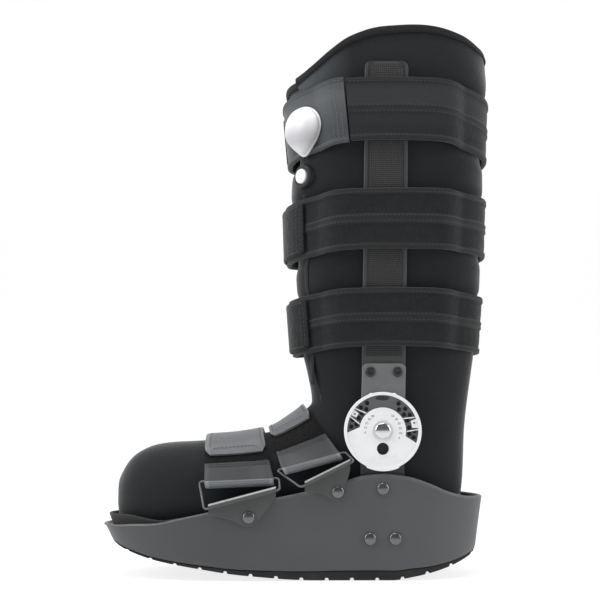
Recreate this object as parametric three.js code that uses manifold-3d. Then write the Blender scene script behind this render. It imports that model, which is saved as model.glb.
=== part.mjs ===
// A tall hinged walking boot for an injured ankle: a moulded rocker base, a padded liner, a pair of
// uprights hinged at the ankle, three leg straps, two foot straps and an air pump with its valve.
// Millimetres, +Z up. The toe points along -X and the wearer's left side is -Y. The origin is on the
// floor under the ankle hinge.
import * as THREE from "three";
import { mergeVertices } from "three/addons/utils/BufferGeometryUtils.js";
import Module from "manifold-3d";

const wasm = await Module();
wasm.setup();

const V = (x, y, z) => new THREE.Vector3(x, y, z);
const { clamp, lerp, smoothstep, degToRad } = THREE.MathUtils;

// Driving dimensions of the base
const baseLength = 300; // toe lip to heel rim
const baseWidth = 112; // across the ball of the foot
const baseHeight = 79.5; // floor to the top of the base beside the ankle
const heelBehindAnkle = 82; // ankle axis back to the heel rim
const toeSpring = 35; // rise of the rocker at the toe
const shellWall = 3.5;
const endDraft = 6; // how far the base's ends lean in towards the floor
const sideDraft = 1; // and its sides
const floorHeight = 22; // floor to the base's inside under the heel
const outsoleThickness = 7;
const outsoleInset = 1; // of its edge from the base's
const grooveDepth = 1.8;
const grooveWidth = 3.2;
const groovePitch = 19;
const bedFloor = 7; // footbed under the heel
const bedWall = 2.5;
const bedSkirt = 12; // height of the footbed's edge above its floor
const bedBelowRim = 1; // and at least this far below the base's rim
const toeGuardHeight = 8; // how far the footbed's toe stands above the base's lip

// Driving dimensions of the liner
const bootHeight = 423.5; // floor to the highest point of the liner's edge
const legDepth = 155; // front to back at the calf
const legWidth = 120; // side to side at the calf
const legBehindAnkle = 7.5; // middle of the leg behind the ankle axis
const instepHeight = 131; // floor to the bend at the front of the ankle
const linerWall = 7;
const flapStep = 5; // how far the right front flap lies under the left one
const flapRise = 30; // height over which that step grows from the instep up
const bindingThickness = 1.6;
const bindingDepth = 6;
const bindingRoom = 0.7; // behind it, inside the leg

// Driving dimensions of the hinge and the uprights
const pivotHeight = 111.5;
const plateThickness = 2.5;
const hingeWidth = 33.4;
const bracketRise = 51.2; // pivot to the top of the bracket
const armDrop = 87.5; // pivot to the lower end of the arm
const dialRadius = 29.3;
const dialThickness = 5;
const dialRim = 2.4;
const windowInner = 17.6;
const stopPlateThickness = 1.2;
const stopHoleRadius = 1.5;
const sightHoleRadius = 4.6;
const sightHoleDrop = 13.5;
const strutTop = 395.5;
const strutBottom = 143.5;
const strutRim = 2.8; // width of the raised edge
const strutRimRise = 0.6;
const strutOffset = 1; // middle of the upright behind the pivot
const strutLean = 5; // how far back it leans over the boot's height
const strutCorner = 5;
const plateCorner = 4; // of the bracket's top
const armCorner = 3; // of the arm's lower end
const tapeThickness = 0.5;
const tapeAbovePlate = 3; // bracket's top to the tape's lower end
const rivetHead = 4.6;
const rivetShank = 2.1;
const rivetRise = 1.8;
const bracketRivetDrop = 6.5;
const pivotHead = 6;
const pivotShank = 3.4;

// Driving dimensions of the straps
const legStrapWidth = 47;
const legStrapThickness = 3.2;
const strapRib = 0.8; // how far the bindings and the middle rib stand out
const ribHalf = 3.4; // half the width of the middle rib
const strapBinding = 4.5;
const tabThickness = 1.5;
const tabInset = 3; // of its edges from the strap's
const panelOverlap = 0.5; // of its edges past the strap's
const footStrapThickness = 2;
const wireRadius = 1.3;
const loopRoom = 0.7; // between a ring and the strap looped round it
const chafeThickness = 1.6;
const chafeShoulder = 4; // how far the plate's edge hangs below the ring
const chafeEdge = 2; // plate left round a rivet's head
const ringOverlap = 3; // how far a ring reaches past the strap's edges
const ringCorner = 2.2;

// Driving dimensions of the pump and the valve
const bulbWidth = 37;
const bulbHeight = 37;
const bulbDrop = 6; // below the middle of the top strap
const bulbRise = 10;
const collarRadius = 9.5;
const collarHeight = 6.5;
const collarFloor = 1.2;
const collarLip = 1.4;
const buttonRadius = 5.8;
const buttonRise = 1.6; // of its face above the collar
const buttonBevel = 0.9;
const buttonTravel = 2;

const gap = 0.35; // between pieces that touch
const slack = 0.8; // between cloth pieces that wrap each other
const roundSides = 8; // of rivets and their holes

const sides = [
  { name: "left", way: -1 },
  { name: "right", way: 1 },
];

// Smooth curve through the rows of a table, from one column to another, with no overshoot between rows.
function follow(rows, by, of) {
  const t = rows.map((row) => row[by]);
  const v = rows.map((row) => row[of]);
  const last = t.length - 1;
  const rise = v.slice(1).map((w, i) => (w - v[i]) / (t[i + 1] - t[i]));
  const slope = v.map((w, i) => {
    if (i === 0) return rise[0];
    if (i === last) return rise[last - 1];
    const [a, b] = [rise[i - 1], rise[i]];
    return a * b > 0 ? (2 * a * b) / (a + b) : 0;
  });
  return (at) => {
    const x = clamp(at, t[0], t[last]);
    const i = clamp(t.findIndex((s) => s >= x) - 1, 0, last - 1);
    const h = t[i + 1] - t[i];
    const s = (x - t[i]) / h;
    const start = v[i] * (1 + 2 * s) * (1 - s) ** 2 + h * slope[i] * s * (1 - s) ** 2;
    const end = v[i + 1] * s * s * (3 - 2 * s) - h * slope[i + 1] * s * s * (1 - s);
    return start + end;
  };
}

// Helpers that make closed surfaces

// Turns the faces outwards, whichever way round the points were given.
function outward(geometry) {
  const p = geometry.getAttribute("position");
  const index = geometry.index.array;
  const [a, b, c] = [V(), V(), V()];
  let volume = 0;
  for (let i = 0; i < index.length; i += 3) {
    a.fromBufferAttribute(p, index[i]);
    b.fromBufferAttribute(p, index[i + 1]);
    c.fromBufferAttribute(p, index[i + 2]);
    volume += a.dot(b.cross(c));
  }
  if (volume < 0) {
    for (let i = 0; i < index.length; i += 3) [index[i], index[i + 1]] = [index[i + 1], index[i]];
  }
  geometry.computeVertexNormals();
  return geometry;
}

function surfaceOf(points, faces) {
  const geometry = new THREE.BufferGeometry().setFromPoints(points);
  geometry.setIndex(faces);
  return outward(geometry);
}

function band(faces, from, to, count, closed) {
  for (let i = 0; i < (closed ? count : count - 1); i++) {
    const next = (i + 1) % count;
    faces.push(from + i, from + next, to + i, from + next, to + next, to + i);
  }
}

// Skin over rings, each capped by strips between its points i and count - i, which face each other.
function loft(rings) {
  const count = rings[0].length;
  const faces = [];
  for (let r = 0; r + 1 < rings.length; r++) band(faces, r * count, (r + 1) * count, count, true);
  for (const [start, turned] of [
    [0, true],
    [(rings.length - 1) * count, false],
  ]) {
    for (let i = 0; i < count / 2; i++) {
      const [a, b] = [i, i + 1];
      const [c, d] = [(count - a) % count, (count - b) % count];
      const strip = [];
      if (a !== c) strip.push([a, b, c]);
      if (b !== d) strip.push([b, d, c]);
      for (const [p, q, s] of strip) {
        faces.push(start + p, start + (turned ? s : q), start + (turned ? q : s));
      }
    }
  }
  return surfaceOf(rings.flat(), faces);
}

// Skin over a row of cross-sections that all have the same count of points.
function sweep(sections, outline, closed = false) {
  const count = sections[0].length;
  const faces = [];
  const spans = closed ? sections.length : sections.length - 1;
  for (let s = 0; s < spans; s++) {
    band(faces, s * count, ((s + 1) % sections.length) * count, count, true);
  }
  if (!closed) {
    const cap = THREE.ShapeUtils.triangulateShape(outline, []);
    const clockwise = THREE.ShapeUtils.isClockWise(outline);
    const end = (sections.length - 1) * count;
    for (const [a, b, c] of cap) {
      const turned = clockwise ? [a, c, b] : [a, b, c];
      faces.push(turned[0], turned[2], turned[1]);
      faces.push(end + turned[0], end + turned[1], end + turned[2]);
    }
    // The bands run one way round the outline, so they are turned where the outline runs the other.
    if (clockwise) {
      const bands = spans * count * 6;
      for (let i = 0; i < bands; i += 3) [faces[i], faces[i + 1]] = [faces[i + 1], faces[i]];
    }
  }
  return surfaceOf(sections.flat(), faces);
}

function circle(radius, count) {
  return Array.from({ length: count }, (_, i) => {
    const turn = (2 * Math.PI * i) / count;
    return new THREE.Vector2(radius * Math.cos(turn), radius * Math.sin(turn));
  });
}

// Round wire along a closed line.
function wireLoop(points, radius, count) {
  const outline = circle(radius, count);
  const middle = points.reduce((sum, p) => sum.add(p), V()).divideScalar(points.length);
  const spans = points.map((p, i) => points[(i + 1) % points.length].clone().sub(p));
  const axis = spans.reduce(
    (sum, s, i) => sum.add(points[i].clone().sub(middle).cross(s)),
    V(),
  ).normalize();
  const sections = points.map((p, i) => {
    const before = points[(i - 1 + points.length) % points.length];
    const tangent = points[(i + 1) % points.length].clone().sub(before).normalize();
    const across = axis.clone().cross(tangent).normalize();
    const up = tangent.clone().cross(across);
    return outline.map((q) => p.clone().addScaledVector(across, q.x).addScaledVector(up, q.y));
  });
  return sweep(sections, outline, true);
}

// Plate drawn in the x-z plane and standing between two distances out from the middle of the boot.
function plate(shape, way, inner, outer, curveSegments = 12) {
  const geometry = new THREE.ExtrudeGeometry(shape, {
    depth: outer - inner,
    bevelEnabled: false,
    curveSegments,
  });
  geometry.rotateX(Math.PI / 2);
  geometry.translate(0, way < 0 ? -inner : outer, 0);
  return geometry;
}

// Round piece turned about an axis that points out of the boot's side.
function turned(profile, way, x, out, z, count = roundSides) {
  const geometry = new THREE.LatheGeometry(
    profile.map(([r, h]) => new THREE.Vector2(r, h)),
    count,
  );
  if (way < 0) geometry.rotateX(Math.PI);
  geometry.translate(x, way * out, z);
  return geometry;
}

// Cutting and joining
function solidOf(geometry) {
  const bare = geometry.clone();
  for (const name of Object.keys(bare.attributes)) {
    if (name !== "position") bare.deleteAttribute(name);
  }
  const merged = mergeVertices(bare, 1e-4);
  return new wasm.Manifold(
    new wasm.Mesh({
      numProp: 3,
      vertProperties: merged.attributes.position.array,
      triVerts: new Uint32Array(merged.index.array),
    }),
  );
}

function geometryOf(solid) {
  const mesh = solid.getMesh();
  const geometry = new THREE.BufferGeometry();
  geometry.setAttribute("position", new THREE.BufferAttribute(mesh.vertProperties, 3));
  geometry.setIndex(new THREE.BufferAttribute(mesh.triVerts, 1));
  geometry.computeVertexNormals();
  return geometry;
}

function cut(geometry, tools) {
  return geometryOf(tools.reduce((solid, tool) => solid.subtract(solidOf(tool)), solidOf(geometry)));
}

// The base's plan and its side profiles. Every share runs from 0 at the toe to 1 at the heel.
const toeX = heelBehindAnkle - baseLength;
const baseMiddle = heelBehindAnkle - baseLength / 2;
const shareOf = (x) => (x - toeX) / baseLength;
const xAt = (share) => toeX + share * baseLength;

const planRows = [
  { share: 0, width: 1 },
  { share: 0.3, width: 1 },
  { share: 0.5, width: 0.955 },
  { share: 0.62, width: 0.94 },
  { share: 0.73, width: 0.955 },
  { share: 0.8, width: 0.985 },
  { share: 0.88, width: 1 },
  { share: 1, width: 1 },
];
const planWidth = follow(planRows, "share", "width");
const planBlunt = 4; // how square the ends are

// Point of the plan, moved in from the rim by an even distance, by a squeeze at the sides only and by
// a share of the draft. turn runs from 0 at the toe down the left side to 1 at the heel, and back up
// the right side to 2.
function planPoint(turn, inset, draft, squeeze = 0) {
  const along = Math.cos(Math.PI * turn);
  const x = baseMiddle - (baseLength / 2 - inset - endDraft * draft) * along;
  const fullness = Math.sqrt(1 - Math.abs(along) ** planBlunt);
  const side = baseWidth / 2 - inset - squeeze - sideDraft * draft;
  const half = side * planWidth((1 - along) / 2) * fullness;
  return { x, y: turn < 1 ? -half : half };
}

// Half the base's width at x, moved in the same way.
function planHalf(x, inset, draft, squeeze = 0) {
  const along = clamp((baseMiddle - x) / (baseLength / 2 - inset - endDraft * draft), -1, 1);
  return Math.abs(planPoint(Math.acos(along) / Math.PI, inset, draft, squeeze).y);
}

const profileRows = [
  { share: 0, rim: 0.496, sole: 0.88, rubber: 0.1, floor: 1.72 },
  { share: 0.025, rim: 0.494, sole: 0.77, rubber: 0.12, floor: 1.66 },
  { share: 0.055, rim: 0.5, sole: 0.65, rubber: 0.14, floor: 1.5 },
  { share: 0.09, rim: 0.515, sole: 0.55, rubber: 0.17, floor: 1.36 },
  { share: 0.15, rim: 0.527, sole: 0.41, rubber: 0.23, floor: 1.23 },
  { share: 0.21, rim: 0.575, sole: 0.315, rubber: 0.3, floor: 1.15 },
  { share: 0.28, rim: 0.632, sole: 0.22, rubber: 0.4, floor: 1.09 },
  { share: 0.35, rim: 0.692, sole: 0.13, rubber: 0.52, floor: 1.04 },
  { share: 0.42, rim: 0.746, sole: 0.07, rubber: 0.68, floor: 1.01 },
  { share: 0.5, rim: 0.806, sole: 0.015, rubber: 0.85, floor: 1 },
  { share: 0.56, rim: 0.853, sole: 0, rubber: 0.93, floor: 1 },
  { share: 0.62, rim: 0.916, sole: 0, rubber: 0.98, floor: 1 },
  { share: 0.68, rim: 0.984, sole: 0, rubber: 1, floor: 1 },
  { share: 0.73, rim: 1, sole: 0, rubber: 1, floor: 1 },
  { share: 0.755, rim: 0.99, sole: 0, rubber: 0.97, floor: 1 },
  { share: 0.79, rim: 0.973, sole: 0.045, rubber: 0.92, floor: 1 },
  { share: 0.84, rim: 0.912, sole: 0.125, rubber: 0.7, floor: 1 },
  { share: 0.9, rim: 0.818, sole: 0.26, rubber: 0.46, floor: 1.02 },
  { share: 0.95, rim: 0.773, sole: 0.42, rubber: 0.28, floor: 1.06 },
  { share: 1, rim: 0.763, sole: 0.6, rubber: 0.15, floor: 1.15 },
];
const rimShare = follow(profileRows, "share", "rim");
const soleShare = follow(profileRows, "share", "sole");
const rubberShare = follow(profileRows, "share", "rubber");
const floorShare = follow(profileRows, "share", "floor");

const rimAt = (x) => baseHeight * rimShare(shareOf(x));
const soleAt = (x) => toeSpring * soleShare(shareOf(x));
const shellBottomAt = (x) => soleAt(x) + outsoleThickness * rubberShare(shareOf(x)) + gap;
const floorAt = (x) => floorHeight * floorShare(shareOf(x));

const planStations = 36;
const insideDraft = 0.6; // share of the draft at the height of the base's floor
const drafted = (share) => () => share;
const wallDraft = (x, z) => {
  const up = (z - floorAt(x)) / (rimAt(x) - floorAt(x));
  return insideDraft * (1 - clamp(up, 0, 1));
};

function planRing(inset, draftAt, heightAt, squeeze = 0) {
  return Array.from({ length: planStations }, (_, i) => {
    const turn = (2 * i) / planStations;
    const upright = planPoint(turn, inset, 0, squeeze);
    const { x, y } = planPoint(turn, inset, draftAt(upright.x), squeeze);
    return V(x, y, heightAt(x));
  });
}

// The y-distances of the hinge's layers, out from the middle of the boot. The arm lies against the
// inside of the base's wall.
const wallBeside = (x) => planHalf(x, shellWall, 1);
const hingeWall = Math.min(wallBeside(-hingeWidth / 2), wallBeside(hingeWidth / 2));
const armOuter = hingeWall - gap;
const armInner = armOuter - plateThickness;
const bracketInner = armOuter + gap;
const bracketOuter = bracketInner + plateThickness;
const dialInner = bracketOuter + gap;
const dialOuter = dialInner + dialThickness;
const ankleHalf = armInner - gap; // half the liner's width where the hinge clasps it
const armRoom = plateThickness + 3 * gap + sideDraft;

// Where the rivets stand, as shares of the base's length and height
const shellRivets = [
  { name: "foot_strap", share: 0.39, height: 0.594 },
  { name: "ankle_strap", share: 0.6133, height: 0.828 },
];
const armRivets = [
  { name: "top", x: 0, height: 0.857 },
  { name: "front", x: -0.3, height: 0.39 },
  { name: "back", x: 0.27, height: 0.39 },
];

function rivetProfile(head, rise, shank, length) {
  return [
    [0, -length],
    [shank, -length],
    [shank, 0],
    [head, 0],
    [head * 0.8, rise * 0.7],
    [0, rise],
  ];
}

function drill(way, x, z, radius) {
  const reach = baseWidth / 2;
  return turned([[0, -reach], [radius, -reach], [radius, reach], [0, reach]], way, x, reach + gap, z);
}

function baseShell() {
  const rings = [
    planRing(0, drafted(1), shellBottomAt),
    planRing(0, drafted(0), rimAt),
    planRing(shellWall, drafted(0), rimAt),
    planRing(shellWall, drafted(insideDraft), floorAt),
  ];
  const drills = sides.flatMap(({ way }) => [
    ...shellRivets.map((r) => drill(way, xAt(r.share), baseHeight * r.height, rivetShank + gap)),
    ...armRivets.map((r) => drill(way, hingeWidth * r.x, baseHeight * r.height, rivetShank + gap)),
  ]);
  return cut(loft(rings), drills);
}

// Rubber tread: a rocker profile with grooves across it, cut to the base's plan.
const grooveTaper = 0.6; // width of a groove's floor to that of its mouth
function outsole() {
  const top = Array.from({ length: planStations / 2 + 1 }, (_, i) => {
    const { x } = planPoint(1 - (2 * i) / planStations, 0, 1);
    return new THREE.Vector2(x, shellBottomAt(x) - gap);
  });
  const first = toeX + endDraft;
  const last = heelBehindAnkle - endDraft;
  const bottom = [new THREE.Vector2(first, soleAt(first))];
  const grooves = Math.floor((last - first) / groovePitch);
  const start = (last + first - grooves * groovePitch) / 2;
  for (let i = 0; i <= grooves; i++) {
    const x = start + i * groovePitch - groovePitch / 2 + grooveWidth * 2;
    if (x < first + grooveWidth || x > last - grooveWidth) continue;
    const depth = Math.min(grooveDepth, (outsoleThickness * rubberShare(shareOf(x))) / 2);
    const lip = grooveWidth / 2;
    const floor = lip * grooveTaper;
    bottom.push(
      new THREE.Vector2(x - lip, soleAt(x - lip)),
      new THREE.Vector2(x - floor, soleAt(x) + depth),
      new THREE.Vector2(x + floor, soleAt(x) + depth),
      new THREE.Vector2(x + lip, soleAt(x + lip)),
      new THREE.Vector2(x + groovePitch / 2, soleAt(x + groovePitch / 2)),
    );
  }
  const end = bottom.findIndex((p) => p.x >= last);
  const kept = end < 0 ? bottom : bottom.slice(0, end);
  kept.push(new THREE.Vector2(last, soleAt(last)));
  const profile = plate(new THREE.Shape([...kept, ...top]), -1, -baseWidth, baseWidth);
  const plan = Array.from({ length: planStations }, (_, i) => {
    const { x, y } = planPoint((2 * i) / planStations, outsoleInset, 1);
    return new THREE.Vector2(x, y);
  });
  const block = new THREE.ExtrudeGeometry(new THREE.Shape(plan), {
    depth: baseHeight,
    bevelEnabled: false,
  });
  return geometryOf(solidOf(profile).intersect(solidOf(block)));
}

// Foam bed inside the base, whose edge stands up round the toes. It leaves room for the arms at its
// sides.
const bedInset = shellWall + gap;
const toeGuardRows = [
  { share: 0, rise: 1 },
  { share: 0.06, rise: 0.93 },
  { share: 0.12, rise: 0.5 },
  { share: 0.19, rise: 0.02 },
  { share: 0.24, rise: 0 },
  { share: 1, rise: 0 },
];
const guardShare = follow(toeGuardRows, "share", "rise");
const guardEnd = 0.19; // where the toe guard ends, as a share of the length, and
const skirtStart = 0.34; // where the low edge starts
const bedThinning = 0.6; // thickness under the toes to that under the heel
const bedThicknessAt = (x) => bedFloor * lerp(bedThinning, 1, Math.min(shareOf(x) * 4, 1));
const bedTopAt = (x) => floorAt(x) + gap + bedThicknessAt(x);
function footbed() {
  const bedEdgeAt = (x) => {
    const share = shareOf(x);
    const guard = rimAt(x) + toeGuardHeight * guardShare(share);
    const low = Math.min(floorAt(x) + bedSkirt, rimAt(x) - bedBelowRim);
    return lerp(guard, low, smoothstep(share, guardEnd, skirtStart));
  };
  const edgeDraft = (x) => wallDraft(x, bedEdgeAt(x));
  return loft([
    planRing(bedInset, drafted(insideDraft), (x) => floorAt(x) + gap, armRoom),
    planRing(bedInset, edgeDraft, bedEdgeAt, armRoom),
    planRing(bedInset + bedWall, edgeDraft, bedEdgeAt, armRoom),
    planRing(bedInset + bedWall, drafted(insideDraft), bedTopAt, armRoom),
  ]);
}

// The liner's leg, by height. Lengths are shares of the leg's depth and half its width. Below the
// knee of this table the leg gives way to the foot's fanned sections.
const legRows = [
  { height: 0.402, front: 0.459, back: 0.447, half: 0 },
  { height: 0.468, front: 0.474, back: 0.463, half: 0.21 },
  { height: 0.55, front: 0.487, back: 0.478, half: 0.5 },
  { height: 0.63, front: 0.495, back: 0.489, half: 0.69 },
  { height: 0.702, front: 0.5, back: 0.497, half: 0.82 },
  { height: 0.8, front: 0.482, back: 0.502, half: 0.98 },
  { height: 0.862, front: 0.496, back: 0.509, half: 1.03 },
  { height: 0.918, front: 0.543, back: 0.526, half: 1.12 },
  { height: 0.958, front: 0.543, back: 0.532, half: 1.16 },
  { height: 1, front: 0.53, back: 0.502, half: 1.18 },
];
const legFront = follow(legRows, "height", "front");
const legBack = follow(legRows, "height", "back");
const legHalf = follow(legRows, "height", "half");
const legSquare = 2.3;

// The foot's sections, fanned about the front of the ankle. Each runs from a point on top of the foot
// to one on its sole: tops and soles are shares of the base's length from the toe, rises are shares
// of the instep's height above the footbed, and half is a share of the footbed's inner half width.
const footRows = [
  { top: 0.0335, rise: 0.25, sole: 0.034, lift: 0.115, half: 0.5 },
  { top: 0.036, rise: 0.4, sole: 0.04, lift: 0.045, half: 0.75 },
  { top: 0.05, rise: 0.505, sole: 0.057, lift: 0.01, half: 0.88 },
  { top: 0.083, rise: 0.625, sole: 0.09, lift: 0, half: 0.95 },
  { top: 0.14, rise: 0.7, sole: 0.148, lift: 0, half: 0.99 },
  { top: 0.205, rise: 0.724, sole: 0.207, lift: 0, half: 1 },
  { top: 0.265, rise: 0.732, sole: 0.278, lift: 0, half: 1 },
  { top: 0.345, rise: 0.748, sole: 0.375, lift: 0, half: 1 },
  { top: 0.417, rise: 0.782, sole: 0.475, lift: 0, half: 1 },
  { top: 0.447, rise: 0.8, sole: 0.56, lift: 0, half: 1 },
  { top: 0.492, rise: 0.88, sole: 0.66, lift: 0, half: 1 },
  { top: 0.533, rise: 0.97, sole: 0.765, lift: 0, half: 1 },
  { top: 0.549, rise: 1.03, sole: 0.865, lift: 0.02, half: 1 },
  { top: 0.5475, rise: 1.075, sole: 0.932, lift: 0.17, half: 1 },
  { top: 0.541, rise: 1.15, sole: 0.9485, lift: 0.43, half: 1 },
  { top: 0.529, rise: 1.24, sole: 0.955, lift: 0.79, half: 1 },
];
const soleSquare = 3; // how square the sections are at the sole
const lastSole = 11; // the row where they start to round off, and
const firstHeel = 15; // the one where they are as round as the leg

// The foot straps by rows of that table, with the angle of the ring's upper bar and that of the end
// of the strap folded back over the foot.
const strapSpans = {
  foot: { from: 6.1, to: 8.15, bar: 84, end: 42 },
  ankle: { from: 8.75, to: 11.1, bar: 76, end: 34 },
};

const bedHalf = (x) => planHalf(x, bedInset + bedWall + gap, insideDraft, armRoom);
const legStart = bootHeight * legRows[0].height;

function footSection(row) {
  const [topX, soleX] = [xAt(row.top), xAt(row.sole)];
  const span = instepHeight - bedTopAt(0);
  return {
    topX,
    topZ: bedTopAt(0) + span * row.rise,
    soleX,
    soleZ: bedTopAt(soleX) + gap + span * row.lift,
    half: Math.min(bedHalf((topX + soleX) / 2), ankleHalf) * row.half,
  };
}

const lowestLeg = {
  topX: legBehindAnkle - legDepth * legRows[0].front,
  topZ: legStart,
  soleX: legBehindAnkle + legDepth * legRows[0].back,
  soleZ: legStart,
  half: ankleHalf,
};
const footSections = [...footRows.map(footSection), lowestLeg].map((row, index) => ({ ...row, index }));
const footColumn = Object.fromEntries(
  ["topX", "topZ", "soleX", "soleZ", "half"].map((key) => [key, follow(footSections, "index", key)]),
);

// Point of a rounded section at an angle from its front, pushed out square to it. The back or sole
// side may be squarer than the front.
const tinyTurn = 0.02; // a step that slopes are measured over, in radians
function sectionPoint(front, back, half, square, angle, out) {
  const middle = front.clone().add(back).multiplyScalar(0.5);
  const reach = front.distanceTo(back) / 2;
  const ahead = front.clone().sub(back).normalize();
  const flat = (turn) => {
    const [c, s] = [Math.cos(turn), Math.sin(turn)];
    const power = 2 / (c > 0 ? legSquare : square);
    return [reach * Math.sign(c) * Math.abs(c) ** power, half * Math.sign(s) * Math.abs(s) ** power];
  };
  const [c, s] = flat(angle);
  const [before, after] = [flat(angle - tinyTurn), flat(angle + tinyTurn)];
  const normal = new THREE.Vector2(after[1] - before[1], before[0] - after[0]).normalize();
  return middle
    .addScaledVector(ahead, c + normal.x * out)
    .add(V(0, s + normal.y * out, 0));
}

function footPoint(at, angle, out) {
  const value = (key) => footColumn[key](at);
  const front = V(value("topX"), 0, value("topZ"));
  const back = V(value("soleX"), 0, value("soleZ"));
  const square = lerp(soleSquare, legSquare, smoothstep(at, lastSole, firstHeel));
  return sectionPoint(front, back, value("half"), square, angle, out);
}

function legHalfAt(z) {
  return ankleHalf + (legWidth / 2 - ankleHalf) * legHalf(z / bootHeight);
}

function legPoint(z, angle, out) {
  const height = z / bootHeight;
  const front = V(legBehindAnkle - legDepth * legFront(height), 0, z);
  const back = V(legBehindAnkle + legDepth * legBack(height), 0, z);
  return sectionPoint(front, back, legHalfAt(z), legSquare, angle, out);
}

// The liner's top edge, by angle from the front, as shares of the boot's height.
const edgeRows = [
  { turn: 0, height: 0.914 },
  { turn: 0.15, height: 0.914 },
  { turn: 0.21, height: 0.92 },
  { turn: 0.27, height: 0.934 },
  { turn: 0.33, height: 0.955 },
  { turn: 0.4, height: 0.979 },
  { turn: 0.5, height: 0.996 },
  { turn: 0.6, height: 1 },
  { turn: 0.75, height: 0.992 },
  { turn: 0.86, height: 0.98 },
  { turn: 1, height: 0.979 },
];
const edgeShare = follow(edgeRows, "turn", "height");
const edgeAt = (angle) => bootHeight * edgeShare(Math.abs(angle) / Math.PI);

// Angles round a section: the front is 0, the left side is negative. They stay symmetric, and two of
// them stand close together where the front flap's edge makes a step.
const flapEdge = degToRad(32);
const flapEdgeHalf = degToRad(1.5);
const linerSteps = 12;
const halfAngles = [
  ...Array.from({ length: linerSteps + 1 }, (_, i) => (i * Math.PI) / linerSteps),
  flapEdge - flapEdgeHalf,
  flapEdge + flapEdgeHalf,
].sort((a, b) => a - b);
const linerAngles = [...halfAngles.map((a) => -a), ...halfAngles.slice(1, -1).reverse()];

// The right front flap lies under the left one, so the surface steps in past the left flap's edge.
const flapFade = degToRad(95);
function flapInset(angle, z) {
  if (angle < -flapEdge || angle > flapFade) return 0;
  const fade = 1 - smoothstep(angle, -flapEdge, flapFade);
  return -flapStep * fade * smoothstep(z, instepHeight, instepHeight + flapRise);
}

function linerRing(row, inset) {
  return linerAngles.map((angle) => {
    if (row.foot !== undefined) {
      const { z } = footPoint(row.foot, angle, 0);
      return footPoint(row.foot, angle, flapInset(angle, z) - inset);
    }
    const z = lerp(legStart, edgeAt(angle), row.leg);
    return legPoint(z, angle, flapInset(angle, z) - inset);
  });
}

const footSteps = footRows.map((_, i) => ({ foot: i }));
const legSteps = [0, 0.14, 0.3, 0.48, 0.66, 0.82, 0.965, 1].map((leg) => ({ leg }));
function liner() {
  const outside = [...footSteps, ...legSteps];
  const inside = [...outside.slice(2, -1).filter((_, i) => i % 2 === 0), outside.at(-1)].reverse();
  return loft([
    ...outside.map((row) => linerRing(row, 0)),
    ...inside.map((row) => linerRing(row, linerWall)),
  ]);
}

// Strip folded over the liner's top edge.
function topBinding() {
  const t = bindingThickness;
  const outline = [
    [-linerWall - bindingRoom - t, -bindingDepth],
    [-linerWall - bindingRoom, -bindingDepth],
    [-linerWall - bindingRoom, slack],
    [gap, slack],
    [gap, -bindingDepth],
    [gap + t, -bindingDepth],
    [gap + t, slack],
    [-linerWall / 2, slack + t],
    [-linerWall - bindingRoom - t, slack],
  ].map(([out, up]) => new THREE.Vector2(out, up));
  const sections = linerAngles.map((angle) => {
    const step = flapInset(angle, bootHeight);
    return outline.map((q) => legPoint(edgeAt(angle) + q.y, angle, q.x + step));
  });
  return sweep(sections, outline, true);
}

// Uprights: a bar on each side with raised edges and a strip of hook tape between them.
const strutX = (z) => strutOffset + ((z - pivotHeight) / bootHeight) * strutLean;
const strutStack = plateThickness + strutRimRise;
const strutHalf = hingeWidth / 2;
const flatRim = 0.02; // share of the raised edge's height left where the bracket covers it

// Heights up a bar, with how much narrower it is there and how far its raised edge has risen.
function strutLine(bottom, top, corner) {
  const plain = pivotHeight + bracketRise + gap;
  const straight = [0, 0.12, 0.26, 0.4, 0.55, 0.7, 0.85, 1].map((share) => ({
    z: lerp(plain + strutRim, top - corner, share),
    narrow: 0,
    rim: 1,
  }));
  const rounded = [0.55, 0.2, 0].map((share) => ({
    z: top - corner * share,
    narrow: corner * (1 - Math.sqrt(1 - (1 - share) ** 2)),
    rim: 1,
  }));
  const flat = [bottom, plain].map((z) => ({ z, narrow: 0, rim: flatRim }));
  return [...(bottom < plain ? flat : []), ...straight, ...rounded];
}

function strutBar(way) {
  const outlineFor = (narrow, rim) => {
    const half = strutHalf - narrow;
    const inner = half - strutRim;
    const raised = plateThickness + strutRimRise * rim;
    return [
      [-half, 0],
      [half, 0],
      [half, raised],
      [inner, raised],
      [inner - strutRimRise, plateThickness],
      [-inner + strutRimRise, plateThickness],
      [-inner, raised],
      [-half, raised],
    ].map(([x, out]) => new THREE.Vector2(x, out));
  };
  const sections = strutLine(strutBottom, strutTop, strutCorner).map(({ z, narrow, rim }) =>
    outlineFor(narrow, rim).map((q) => V(strutX(z) + q.x, way * (legHalfAt(z) + gap + q.y), z)),
  );
  return sweep(sections, outlineFor(0, 1));
}

function hookTape(way) {
  const half = strutHalf - strutRim - strutRimRise - gap;
  const inner = plateThickness + gap;
  const outlineFor = (narrow) =>
    [
      [-half + narrow, inner],
      [half - narrow, inner],
      [half - narrow, inner + tapeThickness],
      [-half + narrow, inner + tapeThickness],
    ].map(([x, out]) => new THREE.Vector2(x, out));
  const bottom = pivotHeight + bracketRise + tapeAbovePlate;
  const line = strutLine(bottom, strutTop - strutRim, strutCorner / 2);
  const sections = line.map(({ z, narrow }) =>
    outlineFor(narrow).map((q) => V(strutX(z) + q.x, way * (legHalfAt(z) + gap + q.y), z)),
  );
  return sweep(sections, outlineFor(0));
}

// Hinge plates, dial and stops
function roundHole(x, z, radius, count = roundSides) {
  return new THREE.Path(
    circle(radius, count)
      .reverse()
      .map((p) => new THREE.Vector2(x + p.x, z + p.y)),
  );
}

const bracketRivetX = hingeWidth * 0.31;

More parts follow.
